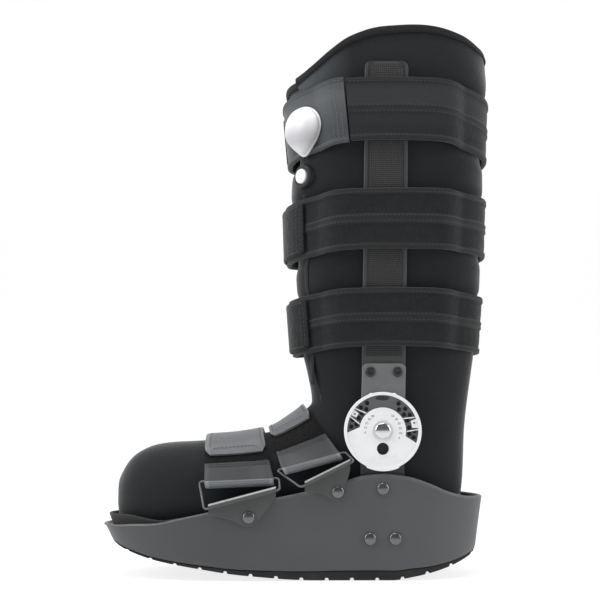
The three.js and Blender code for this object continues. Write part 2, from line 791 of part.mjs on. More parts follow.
function bracket(way) {
  const half = hingeWidth / 2;
  const top = pivotHeight + bracketRise;
  const corner = plateCorner;
  const shape = new THREE.Shape();
  shape.absarc(0, pivotHeight, half, Math.PI, 2 * Math.PI, false);
  shape.lineTo(strutX(top) + half, top - corner);
  shape.absarc(strutX(top) + half - corner, top - corner, corner, 0, Math.PI / 2, false);
  shape.absarc(strutX(top) - half + corner, top - corner, corner, Math.PI / 2, Math.PI, false);
  shape.holes.push(roundHole(0, pivotHeight, pivotShank + gap));
  for (const x of [-bracketRivetX, bracketRivetX]) {
    shape.holes.push(roundHole(strutX(top) + x, top - bracketRivetDrop, rivetShank + gap));
  }
  return plate(shape, way, bracketInner, bracketOuter, 5);
}

function lowerArm(way) {
  const half = hingeWidth / 2;
  const bottom = pivotHeight - armDrop;
  const shape = new THREE.Shape();
  shape.absarc(0, pivotHeight, half, 0, Math.PI, false);
  shape.lineTo(-half, bottom + armCorner);
  shape.lineTo(-half + armCorner, bottom);
  shape.lineTo(half - armCorner, bottom);
  shape.lineTo(half, bottom + armCorner);
  shape.holes.push(roundHole(0, pivotHeight, pivotShank + gap));
  for (const r of armRivets) {
    shape.holes.push(roundHole(hingeWidth * r.x, baseHeight * r.height, rivetShank + gap));
  }
  return plate(shape, way, armInner, armOuter, 5);
}

// The window's ends, in degrees up from the toe's side of the hinge, and the stop holes in it.
const windowFrom = degToRad(-14);
const windowTo = degToRad(174);
const windowOuter = dialRadius - dialRim;
const windowSkew = degToRad(8);

function arcSector(inner, outer, from, to, skew) {
  const shape = new THREE.Shape();
  shape.absarc(0, pivotHeight, outer, from, to, false);
  shape.absarc(0, pivotHeight, inner, to - skew, from + skew, true);
  return shape;
}

function dial(way) {
  const shape = new THREE.Shape();
  shape.absarc(0, pivotHeight, dialRadius, 0, 2 * Math.PI, false);
  const window = arcSector(windowInner, windowOuter, windowFrom, windowTo, windowSkew);
  shape.holes.push(new THREE.Path(window.getPoints(10).reverse()));
  shape.holes.push(roundHole(0, pivotHeight, pivotShank + gap));
  shape.holes.push(roundHole(0, pivotHeight - sightHoleDrop, sightHoleRadius, 12));
  return plate(shape, way, dialInner, dialOuter, 11);
}

const stopHoles = [
  { row: 0.28, count: 5, from: 120, to: 159 },
  { row: 0.73, count: 5, from: 122, to: 164 },
  { row: 0.28, count: 6, from: 2, to: 58 },
  { row: 0.73, count: 6, from: -4, to: 56 },
];

function stopPlate(way) {
  const [inner, outer] = [windowInner + gap, windowOuter - gap];
  const squeeze = gap / windowInner;
  const ends = [windowFrom + squeeze, windowTo - squeeze];
  const shape = arcSector(inner, outer, ends[0], ends[1], windowSkew);
  for (const { row, count, from, to } of stopHoles) {
    const radius = lerp(inner, outer, row);
    for (let i = 0; i < count; i++) {
      const turn = degToRad(lerp(from, to, i / (count - 1)));
      const x = radius * Math.cos(turn);
      const z = pivotHeight + radius * Math.sin(turn);
      shape.holes.push(roundHole(x, z, stopHoleRadius, 5));
    }
  }
  return plate(shape, way, dialInner, dialInner + stopPlateThickness, 6);
}

// Leg straps, wrapped over the uprights
const legStraps = [
  { name: "top", height: 0.8446, width: 1.04, frontDrop: 0.17, backDrop: 0.15 },
  { name: "middle", height: 0.6446, width: 0.99, frontDrop: 0.13, backDrop: 0.02 },
  { name: "lower", height: 0.468, width: 0.945, frontDrop: 0.13, backDrop: 0.085 },
];

function strapMiddle(strap, angle) {
  const c = Math.cos(angle);
  const drop = c > 0 ? strap.frontDrop : strap.backDrop;
  return bootHeight * strap.height - legStrapWidth * drop * c * c;
}

// How far the strap's inside stands off the liner: it bridges the uprights.
const bridgeFlat = degToRad(20); // half the arc over which it stands clear of the upright
const bridgeEnd = degToRad(44); // and where it lies on the liner again
function strapLift(angle, z) {
  const off = Math.abs(Math.abs(angle) - Math.PI / 2);
  const bridge = 1 - smoothstep(off, bridgeFlat, bridgeEnd);
  const hollow = legHalfAt(z) - Math.abs(legPoint(z, angle, 0).y);
  return slack + bridge * (strutStack + gap + hollow);
}

// Angles from one end to the other: the ends, and the even steps between them that all straps share.
const strapSteps = 24;
const strapStep = (2 * Math.PI) / strapSteps;
const shortStep = 0.15; // share of a step that is too short to keep
function strapAngles(from, to, step = strapStep) {
  const first = Math.ceil(from / step + shortStep);
  const last = Math.floor(to / step - shortStep);
  const between = Array.from({ length: last - first + 1 }, (_, i) => (first + i) * step);
  return [from, ...between, to];
}

// Point on a strap: the strap stands straight from its lower edge to its upper one.
function strapPoint(strap, angle, up, out) {
  const turn = THREE.MathUtils.euclideanModulo(angle + Math.PI, 2 * Math.PI) - Math.PI;
  const middle = strapMiddle(strap, turn);
  const half = (legStrapWidth / 2) * strap.width;
  const lift = strapLift(turn, middle) + out;
  const low = legPoint(middle - half, turn, lift);
  return low.lerp(legPoint(middle + half, turn, lift), (up + half) / (2 * half));
}

function strapSections(strap, outline, angles) {
  return angles.map((angle) =>
    outline.map((q) => strapPoint(strap, angle, q.y * strap.width, q.x)),
  );
}

const strapOutline = () => {
  const half = legStrapWidth / 2;
  const t = legStrapThickness;
  const rib = t + strapRib;
  return [
    [0, -half],
    [rib, -half],
    [t, -half + strapBinding],
    [t, -ribHalf],
    [rib, 0],
    [t, ribHalf],
    [t, half - strapBinding],
    [rib, half],
    [0, half],
  ].map(([out, up]) => new THREE.Vector2(out, up));
};

// The top strap runs from the pump's panel round the back to the right front of the leg.
const panelEnd = degToRad(-69);
const panelStart = degToRad(18);
const panelGap = degToRad(1);
function legStrap(strap) {
  const outline = strapOutline();
  if (strap.name !== "top") {
    const angles = strapAngles(-Math.PI, Math.PI).slice(1);
    return sweep(strapSections(strap, outline, angles), outline, true);
  }
  const angles = strapAngles(panelStart + panelGap, 2 * Math.PI + panelEnd - panelGap);
  return sweep(strapSections(strap, outline, angles), outline);
}

// Flat patch wrapped over a strap or in line with it.
function strapPatch(strap, angles, inner, outer, half) {
  const outline = [
    [inner, -half],
    [outer, -half],
    [outer, half],
    [inner, half],
  ].map(([out, up]) => new THREE.Vector2(out, up));
  return sweep(strapSections(strap, outline, angles), outline);
}

const tabRange = { from: -2.5 * strapStep, to: 4 * strapStep };
const topTabFrom = degToRad(-4);
function strapTab(strap) {
  const inner = legStrapThickness + strapRib + slack;
  const from = strap.name === "top" ? topTabFrom : tabRange.from;
  const angles = strapAngles(from, tabRange.to);
  return strapPatch(strap, angles, inner, inner + tabThickness, legStrapWidth / 2 - tabInset);
}

function pumpPanel(strap) {
  const half = legStrapWidth / 2 + panelOverlap;
  const angles = strapAngles(panelEnd, panelStart, strapStep / 2);
  return strapPatch(strap, angles, 0, legStrapThickness, half);
}

// The upper bar of a strap's ring: its two ends, and the directions down round the foot and away
// from it.
function upperBar(span, way) {
  const angle = way * degToRad(span.bar);
  const at = (index, turn, out) => footPoint(index, turn, out);
  const barOut = slack + footStrapThickness + loopRoom + wireRadius;
  const middle = (span.from + span.to) / 2;
  const bulge = at(middle, angle, 0).distanceTo(
    at(span.from, angle, 0).lerp(at(span.to, angle, 0), 0.5),
  );
  const ends = [span.from, span.to].map((index) => at(index, angle, barOut + bulge));
  const nearby = at(middle, angle, 0);
  const down = at(middle, angle + way * tinyTurn, 0).sub(nearby).normalize();
  const away = at(middle, angle, 1).sub(nearby).normalize();
  return { ends, down, away, bulge };
}

// Foot straps: sewn round the left ring, over the foot, through the right ring and back over the top.
const merge = degToRad(13); // from the bar to where the two layers meet above the ring
const hemTurn = 2.2; // how far up the sewn end reaches, in merges
function footStrap(span) {
  const t = footStrapThickness;
  const under = slack + t / 2;
  const over = under + t + gap;
  const wrap = wireRadius + loopRoom + t / 2;
  const shares = [0, 0.5, 1];
  const sections = [];
  const add = (outerRow, innerRow) => sections.push([...outerRow, ...innerRow.reverse()]);
  const run = (from, to, out, side, steps) => {
    const row = (angle, offset) =>
      shares.map((share) => footPoint(lerp(span.from, span.to, share), angle, out + offset));
    for (let i = 0; i <= steps; i++) {
      const angle = lerp(from, to, i / steps);
      add(row(angle, (side * t) / 2), row(angle, (-side * t) / 2));
    }
  };
  const loop = (way, start, end) => {
    const { ends, down, away } = upperBar(span, way);
    const steps = 4;
    for (let i = 0; i <= steps; i++) {
      const turn = degToRad(lerp(start, end, i / steps));
      const row = (radius) =>
        shares.map((share) =>
          ends[0]
            .clone()
            .lerp(ends[1], share)
            .addScaledVector(down, radius * Math.cos(turn))
            .addScaledVector(away, radius * Math.sin(turn)),
        );
      add(row(wrap + t / 2), row(wrap - t / 2));
    }
  };
  const bar = degToRad(span.bar);
  run(-bar + merge * hemTurn, -bar + merge, over, 1, 1);
  loop(-1, 90, -90);
  run(-bar + merge / 2, bar - merge / 2, under, -1, 12);
  loop(1, -90, 90);
  run(bar - merge, -degToRad(span.end), over, 1, 9);
  const outline = [
    [0, 0],
    [0.5, 0],
    [1, 0],
    [1, 1],
    [0.5, 1],
    [0, 1],
  ].map(([x, y]) => new THREE.Vector2(x, y));
  return sweep(sections, outline);
}

// Rings and the folded plates that hold them to the base
const chafes = [
  {
    name: "foot_strap",
    span: strapSpans.foot,
    rivet: shellRivets[0],
    left: { share: 0.29, height: 0.679 },
    right: { share: 0.458, height: 0.844 },
  },
  {
    name: "ankle_strap",
    span: strapSpans.ankle,
    rivet: shellRivets[1],
    left: { share: 0.53, height: 0.891 },
    right: { share: 0.644, height: 1.1 },
  },
];
const curlRadius = wireRadius + gap + chafeThickness / 2;
const chafeTip = 1.12; // above 1 the plate's tip is rounder

// The chafe stands straight along its ring, just clear of the curved wall behind it.
function chafeLine(chafe, x) {
  const [a, b] = [xAt(chafe.left.share), xAt(chafe.right.share)];
  const along = (x - a) / (b - a);
  const wall = (t) => planHalf(lerp(a, b, t), 0, 0);
  const straight = (t) => lerp(wall(0), wall(1), t);
  const bulge = Math.max(0, ...[0.25, 0.5, 0.75].map((t) => wall(t) - straight(t)));
  return {
    plate: straight(along) + bulge + gap + chafeThickness / 2,
    barZ: baseHeight * lerp(chafe.left.height, chafe.right.height, along),
  };
}

function chafePlate(chafe, way) {
  const [a, b] = [xAt(chafe.left.share), xAt(chafe.right.share)];
  const rivetX = xAt(chafe.rivet.share);
  const rivetZ = baseHeight * chafe.rivet.height;
  const reach = rivetHead + chafeEdge;
  const stations = [a, lerp(a, rivetX, 0.5), rivetX - reach * 0.7, rivetX, rivetX + reach * 0.7, b];
  const sections = stations.map((x) => {
    const { plate: out, barZ } = chafeLine(chafe, x);
    const shoulder = barZ - chafeShoulder - 1;
    const side = x < rivetX ? (x - a) / (rivetX - a) : (b - x) / (b - rivetX);
    const bottom = lerp(shoulder, Math.min(rivetZ - reach, shoulder - 1), Math.min(side * chafeTip, 1));
    const line = [
      [0, bottom - barZ],
      [0, -wireRadius],
    ];
    for (const turn of [180, 130, 80, 30, -20]) {
      const angle = degToRad(turn);
      line.push([curlRadius * (1 + Math.cos(angle)), curlRadius * Math.sin(angle)]);
    }
    const half = chafeThickness / 2;
    const offset = (i, distance) => {
      const before = line[Math.max(i - 1, 0)];
      const after = line[Math.min(i + 1, line.length - 1)];
      const d = new THREE.Vector2(after[0] - before[0], after[1] - before[1]).normalize();
      return [line[i][0] + distance * d.y, line[i][1] - distance * d.x];
    };
    const outerSide = line.map((_, i) => offset(i, half));
    const innerSide = line.map((_, i) => offset(i, -half)).reverse();
    return [...outerSide, ...innerSide].map(([o, z]) => V(x, way * (out + o), barZ + z));
  });
  const outline = sections[0].map((p) => new THREE.Vector2(way * p.y, p.z));
  const body = sweep(sections, outline);
  return cut(body, [drill(way, rivetX, rivetZ, rivetShank + gap)]);
}

function strapRing(chafe, way) {
  const [a, b] = [xAt(chafe.left.share) - ringOverlap, xAt(chafe.right.share) + ringOverlap];
  const low = (x) => {
    const { plate: out, barZ } = chafeLine(chafe, x);
    return V(x, way * (out + curlRadius), barZ);
  };
  const [highA, highB] = upperBar(chafe.span, way).ends;
  const stretch = highB.clone().sub(highA).setLength(ringOverlap + wireRadius);
  const corners = [low(a), low(b), highB.add(stretch), highA.sub(stretch)];
  const rounded = corners.flatMap((corner, i) => {
    const before = corners[(i + 3) % 4];
    const after = corners[(i + 1) % 4];
    const start = corner.clone().add(before.clone().sub(corner).setLength(ringCorner));
    const end = corner.clone().add(after.clone().sub(corner).setLength(ringCorner));
    const middle = start.clone().add(end).multiplyScalar(0.25).addScaledVector(corner, 0.5);
    return [start, middle, end];
  });
  const points = rounded.flatMap((p, i) => {
    const next = rounded[(i + 1) % rounded.length];
    return i === 2 ? [p, p.clone().lerp(next, 0.5)] : [p];
  });
  return wireLoop(points, wireRadius, 5);
}

// Pump bulb and valve, standing on the front left of the leg
const pumpTurn = degToRad(-36);

// Teardrop outline: a round head with a point below it.
const dropPinch = 0.42;
const dropPoint = 0.06;
function teardrop(count) {
  return Array.from({ length: count }, (_, i) => {
    const turn = (2 * Math.PI * i) / count;
    const down = Math.max(0, -Math.sin(turn));
    const pinch = 1 - dropPinch * down ** 1.6;
    return [(Math.cos(turn) * pinch) / 2, Math.sin(turn) / 2 - dropPoint * down ** 4];
  });
}

function pumpBulb(strap) {
  const middle = strapPoint(strap, pumpTurn, 0, 0);
  const perRadian = middle.distanceTo(strapPoint(strap, pumpTurn + tinyTurn, 0, 0)) / tinyTurn;
  const rings = [
    { scale: 1, rise: 0 },
    { scale: 0.97, rise: 0.28 },
    { scale: 0.82, rise: 0.64 },
    { scale: 0.52, rise: 0.9 },
    { scale: 0.18, rise: 1 },
  ];
  const drop = teardrop(16);
  const seat = legStrapThickness + 2 * gap;
  const sections = rings.map(({ scale, rise }) =>
    drop.map(([x, y]) => {
      const angle = pumpTurn + (x * bulbWidth * scale) / perRadian;
      return strapPoint(strap, angle, y * bulbHeight * scale - bulbDrop, seat + rise * bulbRise);
    }),
  );
  return loft(sections);
}

function valveStand() {
  const [upper, lower] = legStraps;
  const underUpper = strapMiddle(upper, pumpTurn) - (legStrapWidth * upper.width) / 2;
  const overLower = strapMiddle(lower, pumpTurn) + (legStrapWidth * lower.width) / 2;
  const height = (underUpper + overLower) / 2;
  const origin = legPoint(height, pumpTurn, gap);
  const normal = legPoint(height, pumpTurn, gap + 1).sub(origin).setZ(0).normalize();
  return { origin, normal };
}

function placeRound(profile, stand, count) {
  const geometry = new THREE.LatheGeometry(
    profile.map(([r, h]) => new THREE.Vector2(r, h)),
    count,
  );
  const turn = new THREE.Quaternion().setFromUnitVectors(V(0, 1, 0), stand.normal);
  geometry.applyQuaternion(turn);
  geometry.translate(stand.origin.x, stand.origin.y, stand.origin.z);
  return geometry;
}

function valveCollar() {
  const bore = buttonRadius + gap;
  return placeRound(
    [
      [0, 0],
      [collarRadius, 0],
      [collarRadius, collarHeight - collarLip],
      [collarRadius - collarLip, collarHeight],
      [bore, collarHeight],
      [bore, collarFloor],
      [0, collarFloor],
    ],
    valveStand(),
    16,
  );
}

function valveButton() {
  const foot = collarFloor + gap + buttonTravel;
  const top = collarHeight + buttonRise;
  return placeRound(
    [
      [0, foot],
      [buttonRadius, foot],
      [buttonRadius, top - buttonBevel],
      [buttonRadius - buttonBevel, top],
      [0, top],
    ],
    valveStand(),
    16,
  );
}

// Materials
const finish = (color, roughness, metalness = 0) =>
  new THREE.MeshStandardMaterial({ color, roughness, metalness });
const materials = {
  shell: finish(0x4a4c50, 0.5),
  rubber: finish(0x1d1e20, 0.85),
  foam: finish(0x2a2b2e, 0.8),
  liner: finish(0x1c1d21, 0.95),
  binding: finish(0x141518, 0.85),
  strut: finish(0x3c3e40, 0.55),
  tape: finish(0x333536, 0.9),
  plate: finish(0x6a6b6d, 0.4, 0.7),
  dial: finish(0xf2f3f4, 0.35),
  rivet: finish(0x55575a, 0.35, 0.6),
  legStrap: finish(0x26272a, 0.95),
  panel: finish(0x4c4e52, 0.9),
  footStrap: finish(0x3a3b3e, 0.5),
  wire: finish(0x6d6e70, 0.35, 0.6),
  bulb: finish(0xf3f3f4, 0.4),
  collar: finish(0x121213, 0.6),
};

const boot = new THREE.Group();
function add(name, geometry, material) {
  const mesh = new THREE.Mesh(geometry, material);
  mesh.name = name;
  boot.add(mesh);
  return mesh;
}

add("base_shell", baseShell(), materials.shell);
add("outsole", outsole(), materials.rubber);
add("footbed", footbed(), materials.foam);
add("liner", liner(), materials.liner);
add("top_binding", topBinding(), materials.binding);

const [topStrap] = legStraps;
for (const strap of legStraps) {
  add(`leg_strap_${strap.name}`, legStrap(strap), materials.legStrap);
  add(`strap_tab_${strap.name}`, strapTab(strap), materials.legStrap);
}
add("pump_panel", pumpPanel(topStrap), materials.panel);
add("pump_bulb", pumpBulb(topStrap), materials.bulb);
add("valve_collar", valveCollar(), materials.collar);
add("valve_button", valveButton(), materials.bulb);
add("foot_strap", footStrap(strapSpans.foot), materials.footStrap);
add("ankle_strap", footStrap(strapSpans.ankle), materials.footStrap);

for (const { name: side, way } of sides) {
  add(`strut_${side}`, strutBar(way), materials.strut);
  add(`hook_tape_${side}`, hookTape(way), materials.tape);
  add(`bracket_${side}`, bracket(way), materials.plate);
  add(`hinge_arm_${side}`, lowerArm(way), materials.plate);
  add(`dial_${side}`, dial(way), materials.dial);
  add(`stop_plate_${side}`, stopPlate(way), materials.plate);

  const pivotLength = dialOuter + gap - armInner;
  const pivot = rivetProfile(pivotHead, rivetRise, pivotShank, pivotLength);
  add(
    `pivot_rivet_${side}`,
    turned(pivot, way, 0, dialOuter + gap, pivotHeight, 14),
    materials.rivet,
  );

  const top = pivotHeight + bracketRise;
  for (const [label, x] of [
    ["front", -bracketRivetX],
    ["back", bracketRivetX],
  ]) {
    const profile = rivetProfile(rivetHead * 0.85, rivetRise * 0.8, rivetShank, plateThickness);
    add(
      `bracket_rivet_${label}_${side}`,
      turned(profile, way, strutX(top) + x, bracketOuter + gap, top - bracketRivetDrop),
      materials.rivet,
    );
  }

  for (const r of armRivets) {
    const x = hingeWidth * r.x;
    const out = planHalf(x, 0, 0) + gap;
    const profile = rivetProfile(rivetHead, rivetRise, rivetShank, out - armInner);
    add(
      `arm_rivet_${r.name}_${side}`,
      turned(profile, way, x, out, baseHeight * r.height),
      materials.rivet,
    );
  }

  for (const chafe of chafes) {
    const x = xAt(chafe.rivet.share);
    add(`chafe_${chafe.name}_${side}`, chafePlate(chafe, way), materials.shell);
    add(`ring_${chafe.name}_${side}`, strapRing(chafe, way), materials.wire);
    const out = chafeLine(chafe, x).plate + chafeThickness / 2 + gap;
    const profile = rivetProfile(rivetHead, rivetRise, rivetShank, chafeThickness + shellWall);
    add(
      `chafe_rivet_${chafe.name}_${side}`,
      turned(profile, way, x, out, baseHeight * chafe.rivet.height),
      materials.rivet,
    );
  }
}

export default boot;
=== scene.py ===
import math
import random
import bmesh
import bpy
import numpy as np
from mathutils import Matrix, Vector


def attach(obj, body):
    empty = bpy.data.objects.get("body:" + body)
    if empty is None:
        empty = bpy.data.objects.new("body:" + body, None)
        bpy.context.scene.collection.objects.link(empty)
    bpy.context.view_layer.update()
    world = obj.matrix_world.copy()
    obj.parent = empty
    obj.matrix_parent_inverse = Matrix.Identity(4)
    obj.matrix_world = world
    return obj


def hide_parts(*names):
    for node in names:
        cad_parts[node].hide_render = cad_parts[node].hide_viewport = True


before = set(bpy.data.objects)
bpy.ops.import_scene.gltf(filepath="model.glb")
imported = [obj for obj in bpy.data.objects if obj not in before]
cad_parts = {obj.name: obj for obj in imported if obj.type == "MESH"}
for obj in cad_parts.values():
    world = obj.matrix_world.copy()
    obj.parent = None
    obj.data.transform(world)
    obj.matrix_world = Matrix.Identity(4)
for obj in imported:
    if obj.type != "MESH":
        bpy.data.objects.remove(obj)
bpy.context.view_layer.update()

dice = random.Random(11)
mm = 0.001
pi = math.pi
sides = {"left": -1, "right": 1}

# Camera at the photograph's angle
view = {"place": (-62.6, -900, 120.5), "tilt": 6.1, "lens": 66.72}
cameraData = bpy.data.cameras.new("camera")
cameraData.lens = view["lens"]
cameraData.clip_end = 20
camera = bpy.data.objects.new("camera", cameraData)
camera.location = Vector(view["place"]) * mm
camera.rotation_euler = (math.radians(90 + view["tilt"]), 0, 0)
bpy.context.scene.collection.objects.link(camera)
bpy.context.scene.camera = camera
print("camera is set")


# Shaders. A Value is a socket that can stand in a sum, and the sum adds its Math nodes.
class Value:
    def __init__(self, shade, socket):
        self.shade = shade
        self.socket = socket

    def maths(self, operation, *others):
        values = dict(enumerate([self, *others]))
        return self.shade.add("ShaderNodeMath", {"operation": operation}, values)

    def __add__(self, other):
        return self.maths("ADD", other)

    def __sub__(self, other):
        return self.maths("SUBTRACT", other)

    def __rsub__(self, other):
        return (self * -1).maths("ADD", other)

    def __mul__(self, other):
        return self.maths("MULTIPLY", other)

    def __truediv__(self, other):
        return self.maths("DIVIDE", other)

    __radd__ = __add__
    __rmul__ = __mul__

    def sine(self, pitch):
        return (self * (2 * pi / pitch)).maths("SINE") * 0.5 + 0.5

    def over(self, edge, soft):
        return ((self - edge) / soft + 0.5).maths("MAXIMUM", 0).maths("MINIMUM", 1)


class Shade:
    def __init__(self, name, roughness=0.5, metallic=0.0, sheen=0.0, coat=0.0, specular=0.5):
        self.material = bpy.data.materials.new(name)
        self.material.use_nodes = True
        self.tree = self.material.node_tree
        self.tree.nodes.clear()
        self.surface = self.tree.nodes.new("ShaderNodeBsdfPrincipled")
        output = self.tree.nodes.new("ShaderNodeOutputMaterial")
        self.tree.links.new(self.surface.outputs[0], output.inputs[0])
        plain = {"Roughness": roughness, "Metallic": metallic, "Sheen Weight": sheen}
        plain.update({"Coat Weight": coat, "Specular IOR Level": specular})
        for socket, value in plain.items():
            self.surface.inputs[socket].default_value = value

    def put(self, socket, value):
        if isinstance(value, Value):
            self.tree.links.new(value.socket, socket)
        elif isinstance(value, tuple) and len(value) == 3 and socket.type == "RGBA":
            socket.default_value = (*value, 1)
        else:
            socket.default_value = value

    def add(self, kind, settings, values, output=0):
        node = self.tree.nodes.new(kind)
        for name, setting in settings.items():
            setattr(node, name, setting)
        for name, value in values.items():
            self.put(node.inputs[name], value)
        return Value(self, node.outputs[output])

    # Where a point is, in metres: on the object, or along and across a cloth or bar
    def place(self):
        return self.add("ShaderNodeTexCoord", {}, {}, "Object")

    def lay(self):
        return self.add("ShaderNodeUVMap", {"uv_map": "lay"}, {})

    def parts(self, vector):
        return [self.add("ShaderNodeSeparateXYZ", {}, {0: vector}, i) for i in range(3)]

    def stretch(self, vector, by):
        settings = {"operation": "MULTIPLY"}
        return self.add("ShaderNodeVectorMath", settings, {0: vector, 1: by})

    def noise(self, where, size, detail=2.0, rough=0.5):
        values = {"Vector": where, "Scale": 1 / size, "Detail": detail, "Roughness": rough}
        return self.add("ShaderNodeTexNoise", {}, values)

    def cells(self, where, size):
        return self.add("ShaderNodeTexVoronoi", {}, {"Vector": where, "Scale": 1 / size})

    def mix(self, factor, first, second):
        settings = {"data_type": "RGBA", "clamp_factor": True}
        return self.add("ShaderNodeMix", settings, {0: factor, 6: first, 7: second}, 2)

    def bump(self, height, depth, strength=1.0):
        values = {"Height": height, "Distance": depth, "Strength": strength}
        return self.add("ShaderNodeBump", {}, values)

    def finish(self, color=None, roughness=None, normal=None, sheen=None):
        for name, value in (("Base Color", color), ("Roughness", roughness), ("Normal", normal)):
            if value is not None:
                self.put(self.surface.inputs[name], value)
        if sheen:
            self.surface.inputs["Sheen Roughness"].default_value = sheen
        return self.material


def shade(grey, warm=0.0):
    return (grey * (1 + warm), grey, grey * (1 - warm))


# Moulded plastic: a fine grain, faint flow marks, paler wear along the rim, and a painted highlight that
# pales the tub towards the heel
moulding = {"shell": 0.066, "cool": -0.065, "grain": 0.0007, "scratch": 0.35, "wear": 0.3}


def plasticShell():
    s = Shade("shellPlastic", specular=0.4, coat=0.04)
    where = s.place()
    along, up, _ = s.parts(s.lay())
    ahead, _, _ = s.parts(where)
    # Half of cloud is random tone; the other half is painted light, darker at the toe and paler towards the
    # heel.
    cloud = s.noise(where, 0.045, 3) * 0.5 + ahead.over(-0.06, 0.3) * 0.5
    grain = s.noise(where, moulding["grain"], 2)
    streak = s.noise(s.stretch(where, (0.25, 1, 1)), 0.004, 3, 0.6)
    wear = up.over(0.97, 0.05) * s.noise(where, 0.012, 4, 0.7).over(0.42, 0.2)
    scuff = s.noise(s.stretch(where, (0.12, 1, 1.6)), 0.0022, 2, 0.7).over(0.74, 0.05)
    scuff = scuff * s.noise(where, 0.03, 2).over(0.5, 0.1) * moulding["scratch"]
    dark = shade(moulding["shell"] * 0.68, moulding["cool"])
    light = shade(moulding["shell"] * 1.3, moulding["cool"])
    color = s.mix(cloud, dark, light)
    color = s.mix(wear * moulding["wear"] + scuff * 0.4, color, shade(0.2))
    rough = 0.4 + cloud * 0.1 + grain * 0.08 - wear * 0.08 + scuff * 0.15
    normal = s.bump(grain + streak * 0.4, 0.00006, 0.6)
    return s.finish(color, rough, normal)


# Rubber with dust up to a height, and foam with fine cells
rubber = {"dark": 0.012, "dust": 0.045, "grain": 0.0009, "dustTop": 0.012, "dusty": 0.35}
foam = {"dark": 0.02, "light": 0.034, "cell": 0.0011}


def rubberTread():
    s = Shade("treadRubber", specular=0.35)
    where = s.place()
    _, _, height = s.parts(where)
    grain = s.noise(where, rubber["grain"], 3, 0.6)
    dust = s.noise(where, 0.02, 4, 0.65).over(0.55, 0.3) * (1 - height.over(rubber["dustTop"], 0.02))
    color = s.mix(dust * rubber["dusty"], shade(rubber["dark"]), shade(rubber["dust"], 0.05))
    return s.finish(color, 0.7 + grain * 0.2, s.bump(grain, 0.00012, 0.8))


def bedFoam():
    s = Shade("bedFoam", specular=0.3, sheen=0.1)
    where = s.place()
    cell = s.cells(where, foam["cell"])
    color = s.mix(s.noise(where, 0.03, 3), shade(foam["dark"]), shade(foam["light"]))
    return s.finish(color, 0.8 + cell * 0.1, s.bump(cell, 0.0002, 0.7), 0.4)


# Cloths: a brushed liner, looped straps, ribbed tapes and smooth webbing. Where a cloth lists a paler grey,
# it fades in over a height, and front keeps that to the front of the leg. That paler grey is painted light:
# a lit patch on the front of the liner, and a painted highlight on the upper half of the straps and the
# panel.
cloths = {
    "lining": {"dark": 0.01, "light": 0.018, "cool": -0.14, "sheen": 0.2, "pile": 0.0016},
    "liner": {"dark": 0.01, "light": 0.018, "cool": -0.14, "sheen": 0.45, "pile": 0.0011,
              "wearAndLight": (0.085, 0.37, 0.02), "front": (-0.04, 0.036)},
    "strap": {"dark": 0.008, "light": 0.02, "cool": -0.08, "sheen": 0.24, "pile": 0.0014,
              "wearAndLight": (0.032, 0.35, 0.03)},
    "panel": {"dark": 0.03, "light": 0.066, "cool": -0.09, "sheen": 0.25, "pile": 0.0012,
              "wearAndLight": (0.1, 0.352, 0.03)},
}


def brushed(name, cloth, fuzz=0.5, fleck=0.0, tuft=0.00022):
    s = Shade(name, sheen=cloth["sheen"], specular=0.22)
    where = s.place()
    pile = s.noise(where, cloth["pile"], 3, 0.65)
    clump = s.noise(where, cloth["pile"] * 4, 3, 0.6)
    patch = s.noise(where, 0.028, 3, 0.55)
    mixed = pile * 0.45 + clump * 0.3 + patch * 0.25
    ahead, _, height = s.parts(where)
    dark, light = shade(cloth["dark"], cloth["cool"]), shade(cloth["light"], cloth["cool"])
    color = s.mix(mixed.over(0.5, fuzz), dark, light)
    if "wearAndLight" in cloth:
        # Painted light: the cloth is paler above the given height, and on the liner only at its front.
        grey, start, soft = cloth["wearAndLight"]
        paintedLightMask = height.over(start, soft)
        if "front" in cloth:
            paintedLightMask = paintedLightMask * (1 - ahead.over(*cloth["front"]))
        color = s.mix(paintedLightMask * (mixed * 0.5 + 0.65), color, shade(grey, cloth["cool"] * 0.6))
    if fleck:
        lint = s.noise(where, 0.0013, 1).over(0.71, 0.04)
        color = s.mix(lint * fleck, color, shade(0.12))
    return s.finish(color, 0.85 + pile * 0.12, s.bump(pile + clump * 1.5, tuft, 0.9), 0.35)


def ribbedTape(name, grey, pitch=0.0011, cool=-0.08, gloss=0.75, sheen=0.15):
    s = Shade(name, sheen=sheen, specular=0.3)
    along, across, _ = s.parts(s.lay())
    slant = (along + across * 0.35).sine(pitch)
    thread = slant * (across - along * 0.2).sine(pitch * 0.6)
    fade = s.noise(s.place(), 0.02, 3)
    color = s.mix(thread * 0.6 + fade * 0.4, shade(grey * 0.6, cool), shade(grey * 1.35, cool))
    return s.finish(color, gloss + thread * 0.1, s.bump(thread, 0.00016, 0.9), 0.4)


# The foot straps: shiny webbing, with a band of hook pile above the fold. The fold's paler webbing is a
# painted highlight, and the flap's pale end tab is partly its own paler colour and partly a painted
# highlight from above.
webbing = {"grey": 0.026, "pale": 0.105, "fold": 0.15, "rib": 0.0016, "sheen": 0.1}
hookBand = {"dark": 0.003, "light": 0.012, "tuft": 0.0016, "crumb": 0.0009}


